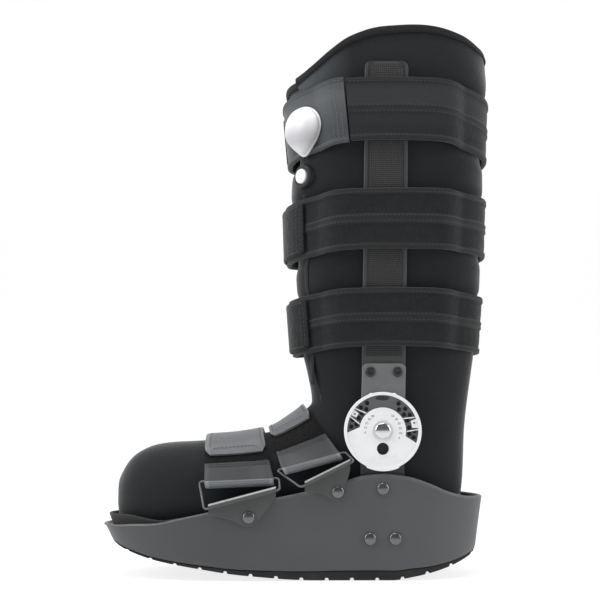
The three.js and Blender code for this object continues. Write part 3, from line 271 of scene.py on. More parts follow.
def footWebbing(name, grey, gloss):
    s = Shade(name, sheen=webbing["sheen"], specular=0.5, coat=0.08)
    along, across, _ = s.parts(s.lay())
    where = s.place()
    weft = along.sine(webbing["rib"])
    warp = across.sine(webbing["rib"] * 0.8)
    weave = weft * warp
    cloud = s.noise(where, 0.018, 3)
    edge = across.over(0.94, 0.03) + (1 - across.over(0.06, 0.03))
    speck = s.noise(where, 0.0012, 2, 0.7)
    mixed = weave * 0.4 + cloud * 0.2 + speck * 0.4
    color = s.mix(mixed, shade(grey * 0.6, -0.07), shade(grey * 1.4, -0.07))
    color = s.mix(edge.over(0.5, 0.5) * 0.4, color, shade(min(grey * 2, 0.3)))
    rough = gloss + cloud * 0.14 + weave * 0.08
    return s.finish(color, rough, s.bump(weave, 0.0001, 0.7), 0.4)


def hookPile():
    s = Shade("hookPile", specular=0.12, sheen=0.03)
    where = s.place()
    tuft = s.cells(where, hookBand["tuft"])
    crumb = s.noise(where, hookBand["crumb"], 3, 0.7)
    color = s.mix(tuft * 0.7 + crumb * 0.5, shade(hookBand["dark"]), shade(hookBand["light"]))
    return s.finish(color, 0.8 + crumb * 0.1, s.bump(crumb + tuft, 0.0006, 1.0))


# A strip moulded with rows of hooks
hooks = {"pitch": 0.00155, "grey": 0.03}


def hookStrip():
    s = Shade("hookStrip", specular=0.35)
    along, across, _ = s.parts(s.lay())
    rows = along.sine(hooks["pitch"]) * across.sine(hooks["pitch"])
    cloud = s.noise(s.place(), 0.012, 3)
    grey = hooks["grey"]
    color = s.mix(rows, shade(grey * 0.45), shade(grey * 1.7))
    color = s.mix(cloud * 0.3, color, shade(grey * 0.5))
    return s.finish(color, 0.5 + cloud * 0.2, s.bump(rows, 0.0005, 0.9))


# Metals and hard plastics: name, grey, roughness, metal, the grain's size and depth, and wear
hard = {
    "strut": ("strutPlastic", 0.04, 0.42, 0, 0.0007, 0.00005, 0.15),
    "bracket": ("bracketPaint", 0.15, 0.4, 0.25, 0.0006, 0.00005, 0.35),
    "arm": ("armPaint", 0.035, 0.42, 0.2, 0.0006, 0.00005, 0.35),
    "steel": ("stopSteel", 0.15, 0.42, 0.5, 0.0006, 0.00005, 0.35),
    "rivet": ("rivetPaint", 0.15, 0.2, 0.85, 0.0004, 0.00003, 0.4),
    "darkRivet": ("darkRivetPaint", 0.03, 0.28, 0.5, 0.0004, 0.00003, 0.5),
    "pivot": ("pivotSteel", 0.62, 0.1, 1, 0.0004, 0.00001, 0.1),
    # socket: a near-black paint that stands in for the shade inside the dial's holes
    "socket": ("holeShadePaint", 0.01, 0.6, 0, 0.0008, 0.00005, 0.1),
    "wire": ("wirePaint", 0.12, 0.3, 0.5, 0.0005, 0.00003, 0.4),
    # bend: a pale grey painted as a highlight along the top of the chafe's curl
    "bend": ("chafeCurlHighlight", 0.3, 0.3, 0.3, 0.0005, 0.00004, 0.4),
    "chafe": ("chafePlastic", 0.06, 0.42, 0, 0.0007, 0.00006, 0.1),
    "collar": ("collarPlastic", 0.005, 0.55, 0, 0.0008, 0.00008, 0.1),
}


def paint(name, grey, rough, metallic, grain, depth, wear):
    s = Shade(name, metallic=metallic, specular=0.5)
    where = s.place()
    speck = s.noise(where, grain, 2)
    cloud = s.noise(where, 0.014, 4, 0.6)
    wearAndLight = s.noise(where, 0.006, 5, 0.75).over(0.66, 0.08) * wear
    color = s.mix(cloud, shade(grey * 0.85, -0.02), shade(grey * 1.15, -0.02))
    color = s.mix(wearAndLight, color, shade(min(grey * 2.2, 0.6)))
    return s.finish(color, rough + speck * 0.12 - wearAndLight * 0.1, s.bump(speck, depth, 0.7))


# The dial's white plastic with grime, and the pump's rubber, shaded where the bulb turns under
white = {"dark": (0.72, 0.73, 0.745), "light": (0.82, 0.83, 0.84), "grime": (0.45, 0.45, 0.44)}
pearl = {"dark": (0.72, 0.72, 0.75), "light": (0.8, 0.8, 0.82), "low": (0.42, 0.42, 0.44),
         "lowTop": (0.3475, 0.014), "lowFoot": (0.33, 0.012)}


def dialPlastic():
    s = Shade("dialPlastic", specular=0.5, coat=0.15)
    where = s.place()
    cloud = s.noise(where, 0.01, 4, 0.6)
    grime = s.noise(where, 0.004, 4, 0.7).over(0.62, 0.2) * 0.12
    color = s.mix(cloud, white["dark"], white["light"])
    color = s.mix(grime, color, white["grime"])
    return s.finish(color, 0.32 + cloud * 0.12, s.bump(s.noise(where, 0.0008, 2), 0.00003, 0.5))


def pearlRubber():
    s = Shade("pearlRubber", specular=0.5, coat=0.25, sheen=0.1)
    s.surface.inputs["Subsurface Weight"].default_value = 0.12
    s.surface.inputs["Subsurface Radius"].default_value = (0.004, 0.004, 0.004)
    s.surface.inputs["Coat Roughness"].default_value = 0.25
    where = s.place()
    cloud = s.noise(where, 0.009, 3)
    _, _, height = s.parts(where)
    low = (1 - height.over(*pearl["lowTop"])) * height.over(*pearl["lowFoot"])
    color = s.mix(cloud, pearl["dark"], pearl["light"])
    color = s.mix(low, color, pearl["low"])
    return s.finish(color, 0.34 + cloud * 0.1, s.bump(s.noise(where, 0.001, 2), 0.00003, 0.5))


def ink():
    s = Shade("ink", specular=0.3)
    fade = s.noise(s.place(), 0.0007, 2)
    return s.finish(s.mix(fade, shade(0.02), shade(0.09)), 0.6 + fade * 0.2)


def threadShade(name, grey):
    s = Shade(name, sheen=0.3, specular=0.3)
    twist = s.noise(s.place(), 0.0005, 2)
    return s.finish(s.mix(twist, shade(grey * 0.7), shade(grey * 1.3)), 0.6 + twist * 0.2)


materials = {
    "shell": plasticShell(),
    "tread": rubberTread(),
    "foam": bedFoam(),
    "liner": brushed("linerCloth", cloths["liner"], 0.7, 0.05, 0.00012),
    "lining": brushed("liningCloth", cloths["lining"], 0.6, 0.0, 0.0003),
    "strap": brushed("strapFelt", cloths["strap"], 0.45, 0.12, 0.0004),
    "panel": brushed("panelCloth", cloths["panel"], 0.6, 0.0, 0.00022),
    "binding": ribbedTape("bindingTape", 0.007, sheen=0.04),
    "strapBinding": ribbedTape("strapBindingTape", 0.017),
    "panelBinding": ribbedTape("panelBindingTape", 0.07),
    "webbing": footWebbing("footWebbing", webbing["grey"], 0.38),
    # The fold's paler webbing is a painted highlight; the flap end's pale webbing is partly a painted
    # highlight.
    "foldHighlightWebbing": footWebbing("foldHighlightWebbing", webbing["fold"], 0.24),
    "paleTabHighlightWebbing": footWebbing("paleTabHighlightWebbing", webbing["pale"], 0.5),
    "pile": hookPile(),
    "hooks": hookStrip(),
    "dial": dialPlastic(),
    "pearl": pearlRubber(),
    "ink": ink(),
    "thread": threadShade("darkThread", 0.022),
    "paleThread": threadShade("paleThread", 0.11),
}
materials.update({key: paint(*finish) for key, finish in hard.items()})
print("materials are made")


# Meshes
def pieceFrom(name, points, faces, mats, lay=None, slots=None, sharp=40.0):
    mesh = bpy.data.meshes.new(name)
    mesh.from_pydata((np.asarray(points) * mm).tolist(), [], faces)
    if lay is not None:
        layer = mesh.uv_layers.new(name="lay")
        layer.data.foreach_set("uv", np.asarray(lay, np.float32).ravel())
    for material in mats:
        mesh.materials.append(materials[material])
    if slots is not None:
        mesh.polygons.foreach_set("material_index", slots)
    mesh.polygons.foreach_set("use_smooth", [True] * len(mesh.polygons))
    tidy = bmesh.new()
    tidy.from_mesh(mesh)
    bmesh.ops.recalc_face_normals(tidy, faces=tidy.faces)
    tidy.to_mesh(mesh)
    tidy.free()
    mesh.set_sharp_from_angle(angle=math.radians(sharp))
    piece = bpy.data.objects.new(name, mesh)
    bpy.context.scene.collection.objects.link(piece)
    return piece


def onBoot(piece, slot, *nodes, body="boot"):
    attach(piece, body)
    if nodes:
        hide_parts(*nodes)


# A skin over a grid of points, whose rows and columns may close on themselves. along and across give
# each row's and column's place on the cloth, slotOf its material, and caps close the first and last row.
def skin(name, grid, mats, ring=False, tube=True, along=None, across=None, slotOf=None, caps=None,
         sharp=40.0):
    grid = np.asarray(grid, float)
    rows, columns = grid.shape[:2]
    spansR = rows if ring else rows - 1
    spansC = columns if tube else columns - 1
    if along is None:
        steps = np.linalg.norm(np.diff(grid[:, 0], axis=0), axis=1)
        along = np.concatenate([[0], np.cumsum(steps)]) * mm
        along = np.append(along, along[-1] + np.linalg.norm(grid[-1, 0] - grid[0, 0]) * mm)
    if across is None:
        steps = np.linalg.norm(np.diff(grid[0], axis=0), axis=1)
        across = np.concatenate([[0], np.cumsum(steps)]) * mm
        across = np.append(across, across[-1] + np.linalg.norm(grid[0, -1] - grid[0, 0]) * mm)
    along, across = np.asarray(along), np.asarray(across)
    faces, lay, slots = [], [], []
    for r in range(spansR):
        for c in range(spansC):
            nextR, nextC = (r + 1) % rows, (c + 1) % columns
            faces.append((r * columns + c, r * columns + nextC, nextR * columns + nextC,
                          nextR * columns + c))
            lay.extend([(along[r], across[c]), (along[r], across[c + 1]),
                        (along[r + 1], across[c + 1]), (along[r + 1], across[c])])
            slots.append(slotOf(r, c) if slotOf else 0)
    points = grid.reshape(-1, 3)
    if caps == "pairs":
        for start, r in ((0, 0), ((rows - 1) * columns, rows - 1)):
            for i in range(columns // 2):
                loop = [i, i + 1, (columns - i - 1) % columns, (columns - i) % columns]
                loop = list(dict.fromkeys(loop))
                if len(loop) > 2:
                    faces.append(tuple(start + j for j in loop))
                    lay.extend([(along[r], across[j]) for j in loop])
                    slots.append(slotOf(r, 0) if slotOf else 0)
    elif caps == "flat":
        for start, r in ((0, 0), ((rows - 1) * columns, rows - 1)):
            faces.append(tuple(start + j for j in range(columns)))
            lay.extend([(along[r], across[j]) for j in range(columns)])
            slots.append(slotOf(max(r - 1, 0), 0) if slotOf else 0)
    return pieceFrom(name, points, faces, mats, lay, slots, sharp)


def meshOf(holder):
    bpy.context.scene.collection.objects.link(holder)
    bpy.context.view_layer.update()
    drawn = holder.evaluated_get(bpy.context.evaluated_depsgraph_get())
    made = bpy.data.meshes.new_from_object(drawn)
    bpy.data.objects.remove(holder)
    return made


# A plate cut from loops of x-z points, the first its outline and the rest its holes, with soft edges.
def plateFrom(name, loops, inner, outer, way, material, soft=0.35, sharp=35.0):
    curve = bpy.data.curves.new(name, "CURVE")
    curve.dimensions = "2D"
    curve.fill_mode = "BOTH"
    curve.extrude = ((outer - inner) / 2 - soft) * mm
    curve.bevel_depth = soft * mm
    curve.bevel_resolution = 2
    curve.offset = -soft * mm
    for loop in loops:
        spline = curve.splines.new("POLY")
        spline.points.add(len(loop) - 1)
        spline.points.foreach_set("co", [v for x, z in loop for v in (x * mm, z * mm, 0, 1)])
        spline.use_cyclic_u = True
    made = meshOf(bpy.data.objects.new(name, curve))
    middle = (inner + outer) / 2 * mm
    points = [(v.co.x / mm, way * (middle + v.co.z) / mm, v.co.y / mm) for v in made.vertices]
    faces = [tuple(p.vertices) for p in made.polygons]
    lay = [(points[i][0] * mm, points[i][2] * mm) for face in faces for i in face]
    return pieceFrom(name, points, faces, [material], lay, None, sharp)


# Short stitches laid along a line, each a small sunken bead
def stitchesAlong(name, lines, material, length=2.4, pitch=3.4, width=0.42, rise=0.28):
    spin = np.linspace(0, 2 * pi, 6, endpoint=False)
    beads = [(-1.0, 0.15), (-0.72, 0.8), (0.0, 1.0), (0.72, 0.8), (1.0, 0.15)]
    unit = np.array([(a, r * math.cos(t), r * math.sin(t)) for a, r in beads for t in spin])
    count = len(spin)
    unitFaces = [tuple(range(count)), tuple((len(beads) - 1) * count + i for i in range(count))]
    for b in range(len(beads) - 1):
        for i in range(count):
            j = (i + 1) % count
            unitFaces.append((b * count + i, b * count + j, (b + 1) * count + j, (b + 1) * count + i))
    points, faces = [], []
    for line, normals in lines:
        line, normals = np.asarray(line, float), np.asarray(normals, float)
        steps = np.linalg.norm(np.diff(line, axis=0), axis=1)
        travelled = np.concatenate([[0], np.cumsum(steps)])
        for s in np.arange(pitch / 2, travelled[-1] - length / 2, pitch):
            at = np.array([np.interp(s, travelled, line[:, k]) for k in range(3)])
            ahead = np.array([np.interp(min(s + 0.5, travelled[-1]), travelled, line[:, k])
                              for k in range(3)]) - at
            ahead /= max(np.linalg.norm(ahead), 1e-9)
            up = np.array([np.interp(s, travelled, normals[:, k]) for k in range(3)])
            up -= ahead * (up @ ahead)
            up /= max(np.linalg.norm(up), 1e-9)
            side = np.cross(ahead, up)
            shift = len(points)
            for a, b, c in unit:
                points.append(at + ahead * a * length / 2 + side * b * width + up * c * rise)
            faces.extend(tuple(shift + i for i in face) for face in unitFaces)
    return pieceFrom(name, points, faces, [material])


# A smooth curve through a table's points, which never swings past them
def follow(rows, by, of):
    t = np.array([row[by] for row in rows], float)
    v = np.array([row[of] for row in rows], float)
    rise = np.diff(v) / np.diff(t)
    slope = np.zeros(len(v))
    slope[0], slope[-1] = rise[0], rise[-1]
    for i in range(1, len(v) - 1):
        a, b = rise[i - 1], rise[i]
        slope[i] = 2 * a * b / (a + b) if a * b > 0 else 0

    def value(at):
        x = np.clip(at, t[0], t[-1])
        i = np.clip(np.searchsorted(t, x) - 1, 0, len(t) - 2)
        h = t[i + 1] - t[i]
        s = (x - t[i]) / h
        start = v[i] * (1 + 2 * s) * (1 - s) ** 2 + h * slope[i] * s * (1 - s) ** 2
        return start + v[i + 1] * s * s * (3 - 2 * s) - h * slope[i + 1] * s * s * (1 - s)

    return value


def smooth(x, low, high):
    t = np.clip((x - low) / (high - low), 0, 1)
    return t * t * (3 - 2 * t)


def lerp(a, b, t):
    return a + (b - a) * t


def table(columns, rows):
    return [dict(zip(columns.split(), row)) for row in rows]


# Gentle unevenness for cloth: a few long waves that never repeat exactly
waves = [(dice.uniform(0.6, 1.6), dice.uniform(0, 6.28), dice.uniform(0.6, 1.6), dice.uniform(0, 6.28))
         for _ in range(5)]


def uneven(u, v, size):
    total = 0
    for i, (a, b, c, d) in enumerate(waves):
        grow = 1 + i * 0.7
        total = total + np.sin(u * a * grow / size + b) * np.sin(v * c * grow / size + d) / grow
    return total / 2


# The base. Shares run from the toe to the heel, and lengths are in millimetres.
base = {
    "length": 300, "width": 112, "height": 79.5, "heel": 82, "toeSpring": 35, "wall": 3.5,
    "endDraft": 6, "sideDraft": 1, "floor": 22, "sole": 7, "blunt": 4, "insideDraft": 0.6,
    "gap": 0.35, "lip": 1.3,
}
planRows = table("share width", [
    (0, 1), (0.3, 1), (0.5, 0.955), (0.62, 0.94), (0.73, 0.955), (0.8, 0.985), (0.88, 1), (1, 1)])
profileRows = table("share rim sole rubber floor", [
    (0, 0.496, 0.88, 0.1, 1.72), (0.025, 0.494, 0.77, 0.12, 1.66), (0.055, 0.5, 0.65, 0.14, 1.5),
    (0.09, 0.515, 0.55, 0.17, 1.36), (0.15, 0.527, 0.41, 0.23, 1.23),
    (0.21, 0.575, 0.315, 0.3, 1.15), (0.28, 0.632, 0.22, 0.4, 1.09), (0.35, 0.692, 0.13, 0.52, 1.04),
    (0.42, 0.746, 0.07, 0.68, 1.01), (0.5, 0.806, 0.015, 0.85, 1), (0.56, 0.853, 0, 0.93, 1),
    (0.62, 0.916, 0, 0.98, 1), (0.68, 0.984, 0, 1, 1), (0.73, 1, 0, 1, 1), (0.755, 0.99, 0, 0.97, 1),
    (0.79, 0.973, 0.045, 0.92, 1), (0.84, 0.912, 0.125, 0.7, 1), (0.9, 0.818, 0.26, 0.46, 1.02),
    (0.95, 0.773, 0.42, 0.28, 1.06), (1, 0.763, 0.6, 0.15, 1.15)])
planWidth = follow(planRows, "share", "width")
rimShare = follow(profileRows, "share", "rim")
soleShare = follow(profileRows, "share", "sole")
rubberShare = follow(profileRows, "share", "rubber")
floorShare = follow(profileRows, "share", "floor")
toeX = base["heel"] - base["length"]
baseMiddle = base["heel"] - base["length"] / 2
gap = base["gap"]


def shareOf(x):
    return (x - toeX) / base["length"]


def xAt(share):
    return toeX + share * base["length"]


def rimAt(x):
    return base["height"] * rimShare(shareOf(x))


def soleAt(x):
    return base["toeSpring"] * soleShare(shareOf(x))


def shellBottomAt(x):
    return soleAt(x) + base["sole"] * rubberShare(shareOf(x)) + gap


def floorAt(x):
    return base["floor"] * floorShare(shareOf(x))


def planPoint(turn, inset, draft, squeeze=0.0):
    along = np.cos(pi * turn)
    x = baseMiddle - (base["length"] / 2 - inset - base["endDraft"] * draft) * along
    full = np.sqrt(np.clip(1 - np.abs(along) ** base["blunt"], 0, 1))
    side = base["width"] / 2 - inset - squeeze - base["sideDraft"] * draft
    half = side * planWidth((1 - along) / 2) * full
    return x, np.where(turn < 1, -half, half)


def planHalf(x, inset, draft, squeeze=0.0):
    reach = base["length"] / 2 - inset - base["endDraft"] * draft
    along = np.clip((baseMiddle - x) / reach, -1, 1)
    return np.abs(planPoint(np.arccos(along) / pi, inset, draft, squeeze)[1])


def planRow(turns, inset, draft, height, squeeze=0.0):
    x0, _ = planPoint(turns, inset, 0, squeeze)
    x, y = planPoint(turns, inset, draft(x0) if callable(draft) else draft, squeeze)
    return np.stack([x, y, height(x) if callable(height) else height], axis=-1)


def wallDraft(x, z):
    up = (z - floorAt(x)) / (rimAt(x) - floorAt(x))
    return base["insideDraft"] * (1 - np.clip(up, 0, 1))


def makeShell():
    turns = np.linspace(0, 2, 180, endpoint=False)
    rows, ups = [], []

    def outerRow(share, inset=0.0, drop=0.0):
        rows.append(planRow(turns, inset, 1 - share,
                            lambda x: lerp(shellBottomAt(x), rimAt(x), share) - drop))
        ups.append(share)

    outerRow(0, 2.2)
    outerRow(0, 1.0, -0.15)
    outerRow(0, 0.25, -0.9)
    for share in (0.05, 0.12, 0.25, 0.4, 0.55, 0.7, 0.82, 0.9, 0.955):
        outerRow(share)
    lip = base["lip"]
    for turn in np.linspace(0, pi, 9):
        inset = (1 - math.cos(turn)) / 2 * base["wall"]
        rows.append(planRow(turns, inset, 0, lambda x: rimAt(x) - lip * (1 - math.sin(turn))))
        ups.append(1.0)
    for share in (0.9, 0.7, 0.45, 0.2, 0):
        rows.append(planRow(turns, base["wall"], lambda x: base["insideDraft"] * (1 - share),
                            lambda x: lerp(floorAt(x), rimAt(x) - lip, share)))
        ups.append(share)
    across = np.linspace(0, 0.72, len(turns) + 1)
    grid = np.array(rows)
    ups.append(0)
    # The lay gives the distance round the base and the share of the wall's height.
    shell = skin("baseShell", grid.transpose(1, 0, 2), ["shell"], ring=True, tube=False,
                 along=across, across=ups, sharp=50)
    return shell, grid


# Closes the base's inside floor and its underside with strips across it.
def closeRows(piece, rows):
    mesh = bmesh.new()
    mesh.from_mesh(piece.data)
    for row in rows:
        tree = {tuple(np.round(np.array(v.co) / mm, 3)): v for v in mesh.verts}
        loop = [tree.get(tuple(np.round(p, 3))) for p in row]
        count = len(loop)
        for i in range(count // 2):
            corners = [loop[i], loop[i + 1], loop[(count - i - 1) % count], loop[(count - i) % count]]
            corners = list(dict.fromkeys(c for c in corners if c))
            if len(corners) > 2:
                mesh.faces.new(corners).smooth = True
    bmesh.ops.recalc_face_normals(mesh, faces=mesh.faces)
    mesh.to_mesh(piece.data)
    mesh.free()


shell, shellGrid = makeShell()
closeRows(shell, [shellGrid[0], shellGrid[-1]])
onBoot(shell, "shell", "base_shell")

tread = {"depth": 1.8, "width": 3.2, "pitch": 19, "taper": 0.6, "inset": 1, "channel": 1.4}


def makeTread():
    first, last = toeX + base["endDraft"], base["heel"] - base["endDraft"]
    count = math.floor((last - first) / tread["pitch"])
    start = (last + first - count * tread["pitch"]) / 2
    stations = []
    for i in range(count + 1):
        x = start + i * tread["pitch"] - tread["pitch"] / 2 + tread["width"] * 2
        lip = tread["width"] / 2
        floorHalf = lip * tread["taper"]
        if first + tread["width"] < x < last - tread["width"]:
            depth = min(tread["depth"], base["sole"] * float(rubberShare(shareOf(x))) / 2)
            stations += [(x - lip - 0.35, 0), (x - lip, 0.12), (x - floorHalf, depth),
                         (x + floorHalf, depth), (x + lip, 0.12), (x + lip + 0.35, 0)]
    taken = [x for x, _ in stations]
    for x in np.concatenate([np.linspace(first + 0.02, last - 0.02, 90),
                             first + np.geomspace(0.1, 6, 8), last - np.geomspace(0.1, 6, 8)]):
        if all(abs(x - t) > tread["width"] * 0.62 for t in taken):
            stations.append((x, 0))
    stations.sort()
    # Across the sole: a soft edge, and two channels along it
    lanes = [(-1, 0.45, 1), (-0.985, 0.1, 1), (-0.95, 0, 1), (-0.5, 0, 1), (-0.47, 0, 0),
             (-0.42, 0, 0), (-0.39, 0, 1), (0.39, 0, 1), (0.42, 0, 0), (0.47, 0, 0), (0.5, 0, 1),
             (0.95, 0, 1), (0.985, 0.1, 1), (1, 0.45, 1)]
    rows = []
    for x, depth in stations:
        half = float(planHalf(x, tread["inset"], 1))
        top = float(shellBottomAt(x)) - gap
        low = float(soleAt(x))
        thick = top - low
        row = [(x, -half, top)]
        for share, lift, full in lanes:
            sunk = 0 if full else min(tread["channel"], thick * 0.4)
            z = low + max(depth, sunk) + lift * thick
            row.append((x, half * share, min(z, top - 0.05)))
        row.append((x, half, top))
        rows.append(row)
    return skin("treadSole", rows, ["tread"], caps="flat", sharp=28)


onBoot(makeTread(), "outsole", "outsole")

bed = {"thick": 7, "thinning": 0.6, "wall": 2.5, "skirt": 12, "below": 1, "guard": 8,
       "guardEnd": 0.19, "skirtStart": 0.34, "armRoom": 2.5 + 3 * 0.35 + 1}
guardRows = table("share rise", [(0, 1), (0.06, 0.93), (0.12, 0.5), (0.19, 0.02), (0.24, 0), (1, 0)])
guardShare = follow(guardRows, "share", "rise")
bedInset = base["wall"] + gap


def bedTopAt(x):
    return floorAt(x) + gap + bed["thick"] * lerp(bed["thinning"], 1, np.minimum(shareOf(x) * 4, 1))


def bedEdgeAt(x):
    share = shareOf(x)
    guard = rimAt(x) + bed["guard"] * guardShare(share)
    low = np.minimum(floorAt(x) + bed["skirt"], rimAt(x) - bed["below"])
    return lerp(guard, low, smooth(share, bed["guardEnd"], bed["skirtStart"]))


def makeBed():
    turns = np.linspace(0, 2, 144, endpoint=False)
    room = bed["armRoom"]

    def edgeDraft(x):
        return wallDraft(x, bedEdgeAt(x))

    rows = [planRow(turns, bedInset, base["insideDraft"], lambda x: floorAt(x) + gap, room)]
    for share in (0.3, 0.6, 0.85):
        rows.append(planRow(turns, bedInset, lambda x: lerp(base["insideDraft"], edgeDraft(x), share),
                            lambda x: lerp(floorAt(x) + gap, bedEdgeAt(x) - 1, share), room))
    for turn in np.linspace(0, pi, 7):
        inset = bedInset + (1 - math.cos(turn)) / 2 * bed["wall"]
        rows.append(planRow(turns, inset, edgeDraft,
                            lambda x: bedEdgeAt(x) - 1 + math.sin(turn), room))
    for share in (0.7, 0.35, 0):
        rows.append(planRow(turns, bedInset + bed["wall"],
                            lambda x: lerp(base["insideDraft"], edgeDraft(x), share),
                            lambda x: lerp(bedTopAt(x), bedEdgeAt(x) - 1, share), room))
    return skin("footBed", rows, ["foam"], caps="pairs", sharp=50)


onBoot(makeBed(), "footbed", "footbed")
print("base is made")

# The liner
leg = {"height": 423.5, "depth": 155, "width": 120, "behind": 7.5, "instep": 131, "wall": 7,
       "square": 2.3, "soleSquare": 3, "lastSole": 11, "firstHeel": 15, "flapStep": 5,
       "flapRise": 30, "flapEdge": math.radians(32), "flapHalf": math.radians(0.9),
       "flapFade": math.radians(95), "press": 0.9, "swell": 1.5, "waver": 0.55,
       "puff": 2.6, "puffAt": 0.728}
hinge = {"height": 111.5, "plate": 2.5, "width": 33.4, "rise": 51.2, "drop": 87.5, "dial": 29.3,
         "dialThick": 5, "rim": 2.4, "window": 17.6, "stopThick": 1.2, "sight": 4.6,
         "sightDrop": 13.5, "rivetDrop": 6.5, "rivetOut": 0.31, "shank": 3.4}
legRows = table("height front back half", [
    (0.402, 0.459, 0.447, 0), (0.468, 0.474, 0.463, 0.21), (0.55, 0.487, 0.478, 0.5),
    (0.63, 0.495, 0.489, 0.69), (0.702, 0.5, 0.497, 0.82), (0.8, 0.482, 0.502, 0.98),
    (0.862, 0.496, 0.509, 1.03), (0.918, 0.543, 0.526, 1.12), (0.958, 0.543, 0.532, 1.16),
    (1, 0.53, 0.502, 1.18)])
footRows = table("top rise sole lift half", [
    (0.0335, 0.25, 0.034, 0.115, 0.5), (0.036, 0.4, 0.04, 0.045, 0.75),
    (0.05, 0.505, 0.057, 0.01, 0.88), (0.083, 0.625, 0.09, 0, 0.95), (0.14, 0.7, 0.148, 0, 0.99),
    (0.205, 0.724, 0.207, 0, 1), (0.265, 0.732, 0.278, 0, 1), (0.345, 0.748, 0.375, 0, 1),
    (0.417, 0.782, 0.475, 0, 1), (0.447, 0.8, 0.56, 0, 1), (0.492, 0.88, 0.66, 0, 1),
    (0.533, 0.97, 0.765, 0, 1), (0.549, 1.03, 0.865, 0.02, 1), (0.5475, 1.075, 0.932, 0.17, 1),
    (0.541, 1.15, 0.9485, 0.43, 1), (0.529, 1.24, 0.955, 0.79, 1)])
edgeRows = table("turn height", [
    (0, 0.914), (0.15, 0.914), (0.21, 0.92), (0.27, 0.934), (0.33, 0.955), (0.4, 0.979),
    (0.5, 0.996), (0.6, 1), (0.75, 0.992), (0.86, 0.98), (1, 0.979)])
legFront = follow(legRows, "height", "front")
legBack = follow(legRows, "height", "back")
legHalf = follow(legRows, "height", "half")
edgeShare = follow(edgeRows, "turn", "height")

# The hinge's layers, out from the middle of the boot
half = hinge["width"] / 2
hingeWall = min(float(planHalf(-half, base["wall"], 1)), float(planHalf(half, base["wall"], 1)))
armOuter = hingeWall - gap
armInner = armOuter - hinge["plate"]
bracketInner = armOuter + gap
bracketOuter = bracketInner + hinge["plate"]
dialInner = bracketOuter + gap
dialOuter = dialInner + hinge["dialThick"]
ankleHalf = armInner - gap
legStart = leg["height"] * legRows[0]["height"]


def bedHalf(x):
    return float(planHalf(x, bedInset + bed["wall"] + gap, base["insideDraft"], bed["armRoom"]))


def footSection(row):
    top, sole = xAt(row["top"]), xAt(row["sole"])
    span = leg["instep"] - float(bedTopAt(0))
    width = min(bedHalf((top + sole) / 2), ankleHalf) * row["half"]
    soleZ = float(bedTopAt(sole)) + gap + span * row["lift"]
    return (top, float(bedTopAt(0)) + span * row["rise"], sole, soleZ, width)


sections = [footSection(row) for row in footRows]
sections.append((leg["behind"] - leg["depth"] * legRows[0]["front"], legStart,
                 leg["behind"] + leg["depth"] * legRows[0]["back"], legStart, ankleHalf))
sections = table("at topX topZ soleX soleZ half", [(i, *row) for i, row in enumerate(sections)])
footColumn = {key: follow(sections, "at", key) for key in ("topX", "topZ", "soleX", "soleZ", "half")}
tinyTurn = 0.02


def sectionPoint(front, back, width, square, angle, out):
    middleX, middleZ = (front[0] + back[0]) / 2, (front[1] + back[1]) / 2
    aheadX, aheadZ = front[0] - back[0], front[1] - back[1]
    size = np.sqrt(aheadX ** 2 + aheadZ ** 2)
    reach, aheadX, aheadZ = size / 2, aheadX / size, aheadZ / size

    def flat(turn):
        c, s = np.cos(turn), np.sin(turn)
        power = 2 / np.where(c > 0, leg["square"], square)
        return reach * np.sign(c) * np.abs(c) ** power, width * np.sign(s) * np.abs(s) ** power

    c, s = flat(angle)
    before, after = flat(angle - tinyTurn), flat(angle + tinyTurn)
    normalC, normalS = after[1] - before[1], before[0] - after[0]
    size = np.sqrt(normalC ** 2 + normalS ** 2)
    c, s = c + normalC / size * out, s + normalS / size * out
    return np.stack(np.broadcast_arrays(middleX + aheadX * c, s, middleZ + aheadZ * c), axis=-1)


def footPoint(at, angle, out):
    value = {key: column(at) for key, column in footColumn.items()}
    square = lerp(leg["soleSquare"], leg["square"], smooth(at, leg["lastSole"], leg["firstHeel"]))
    return sectionPoint((value["topX"], value["topZ"]), (value["soleX"], value["soleZ"]),
                        value["half"], square, angle, out)


def legHalfAt(z):
    return ankleHalf + (leg["width"] / 2 - ankleHalf) * legHalf(z / leg["height"])


def legPoint(z, angle, out):
    z = np.asarray(z, float)
    front = leg["behind"] - leg["depth"] * legFront(z / leg["height"])
    back = leg["behind"] + leg["depth"] * legBack(z / leg["height"])
    return sectionPoint((front, z), (back, z), legHalfAt(z), leg["square"], angle, out)


def edgeAt(angle):
    return leg["height"] * edgeShare(np.abs(angle) / pi)


def flapInset(angle, z):
    edge = leg["flapEdge"]
    fade = 1 - smooth(angle, -edge, leg["flapFade"])
    over = smooth(angle, -edge - leg["flapHalf"], -edge + leg["flapHalf"])
    rise = smooth(z, leg["instep"], leg["instep"] + leg["flapRise"])
    return -leg["flapStep"] * fade * over * rise


# Leg straps, by height and width as shares of the boot's height and the strap's own width
strap = {"width": 47, "thick": 3.2, "rib": 0.8, "ribHalf": 3.4, "binding": 4.5, "tab": 1.5,
         "tabInset": 3, "overlap": 0.5, "slack": 0.8, "rimRise": 0.6, "bridge": (20, 44)}
legStraps = table("name height width frontDrop backDrop", [
    ("top", 0.8446, 1.04, 0.17, 0.15), ("middle", 0.6446, 0.99, 0.13, 0.02),
    ("lower", 0.468, 0.945, 0.13, 0.085)])


def strapMiddle(band, angle):
    c = np.cos(angle)
    drop = np.where(c > 0, band["frontDrop"], band["backDrop"])
    return leg["height"] * band["height"] - strap["width"] * drop * c * c


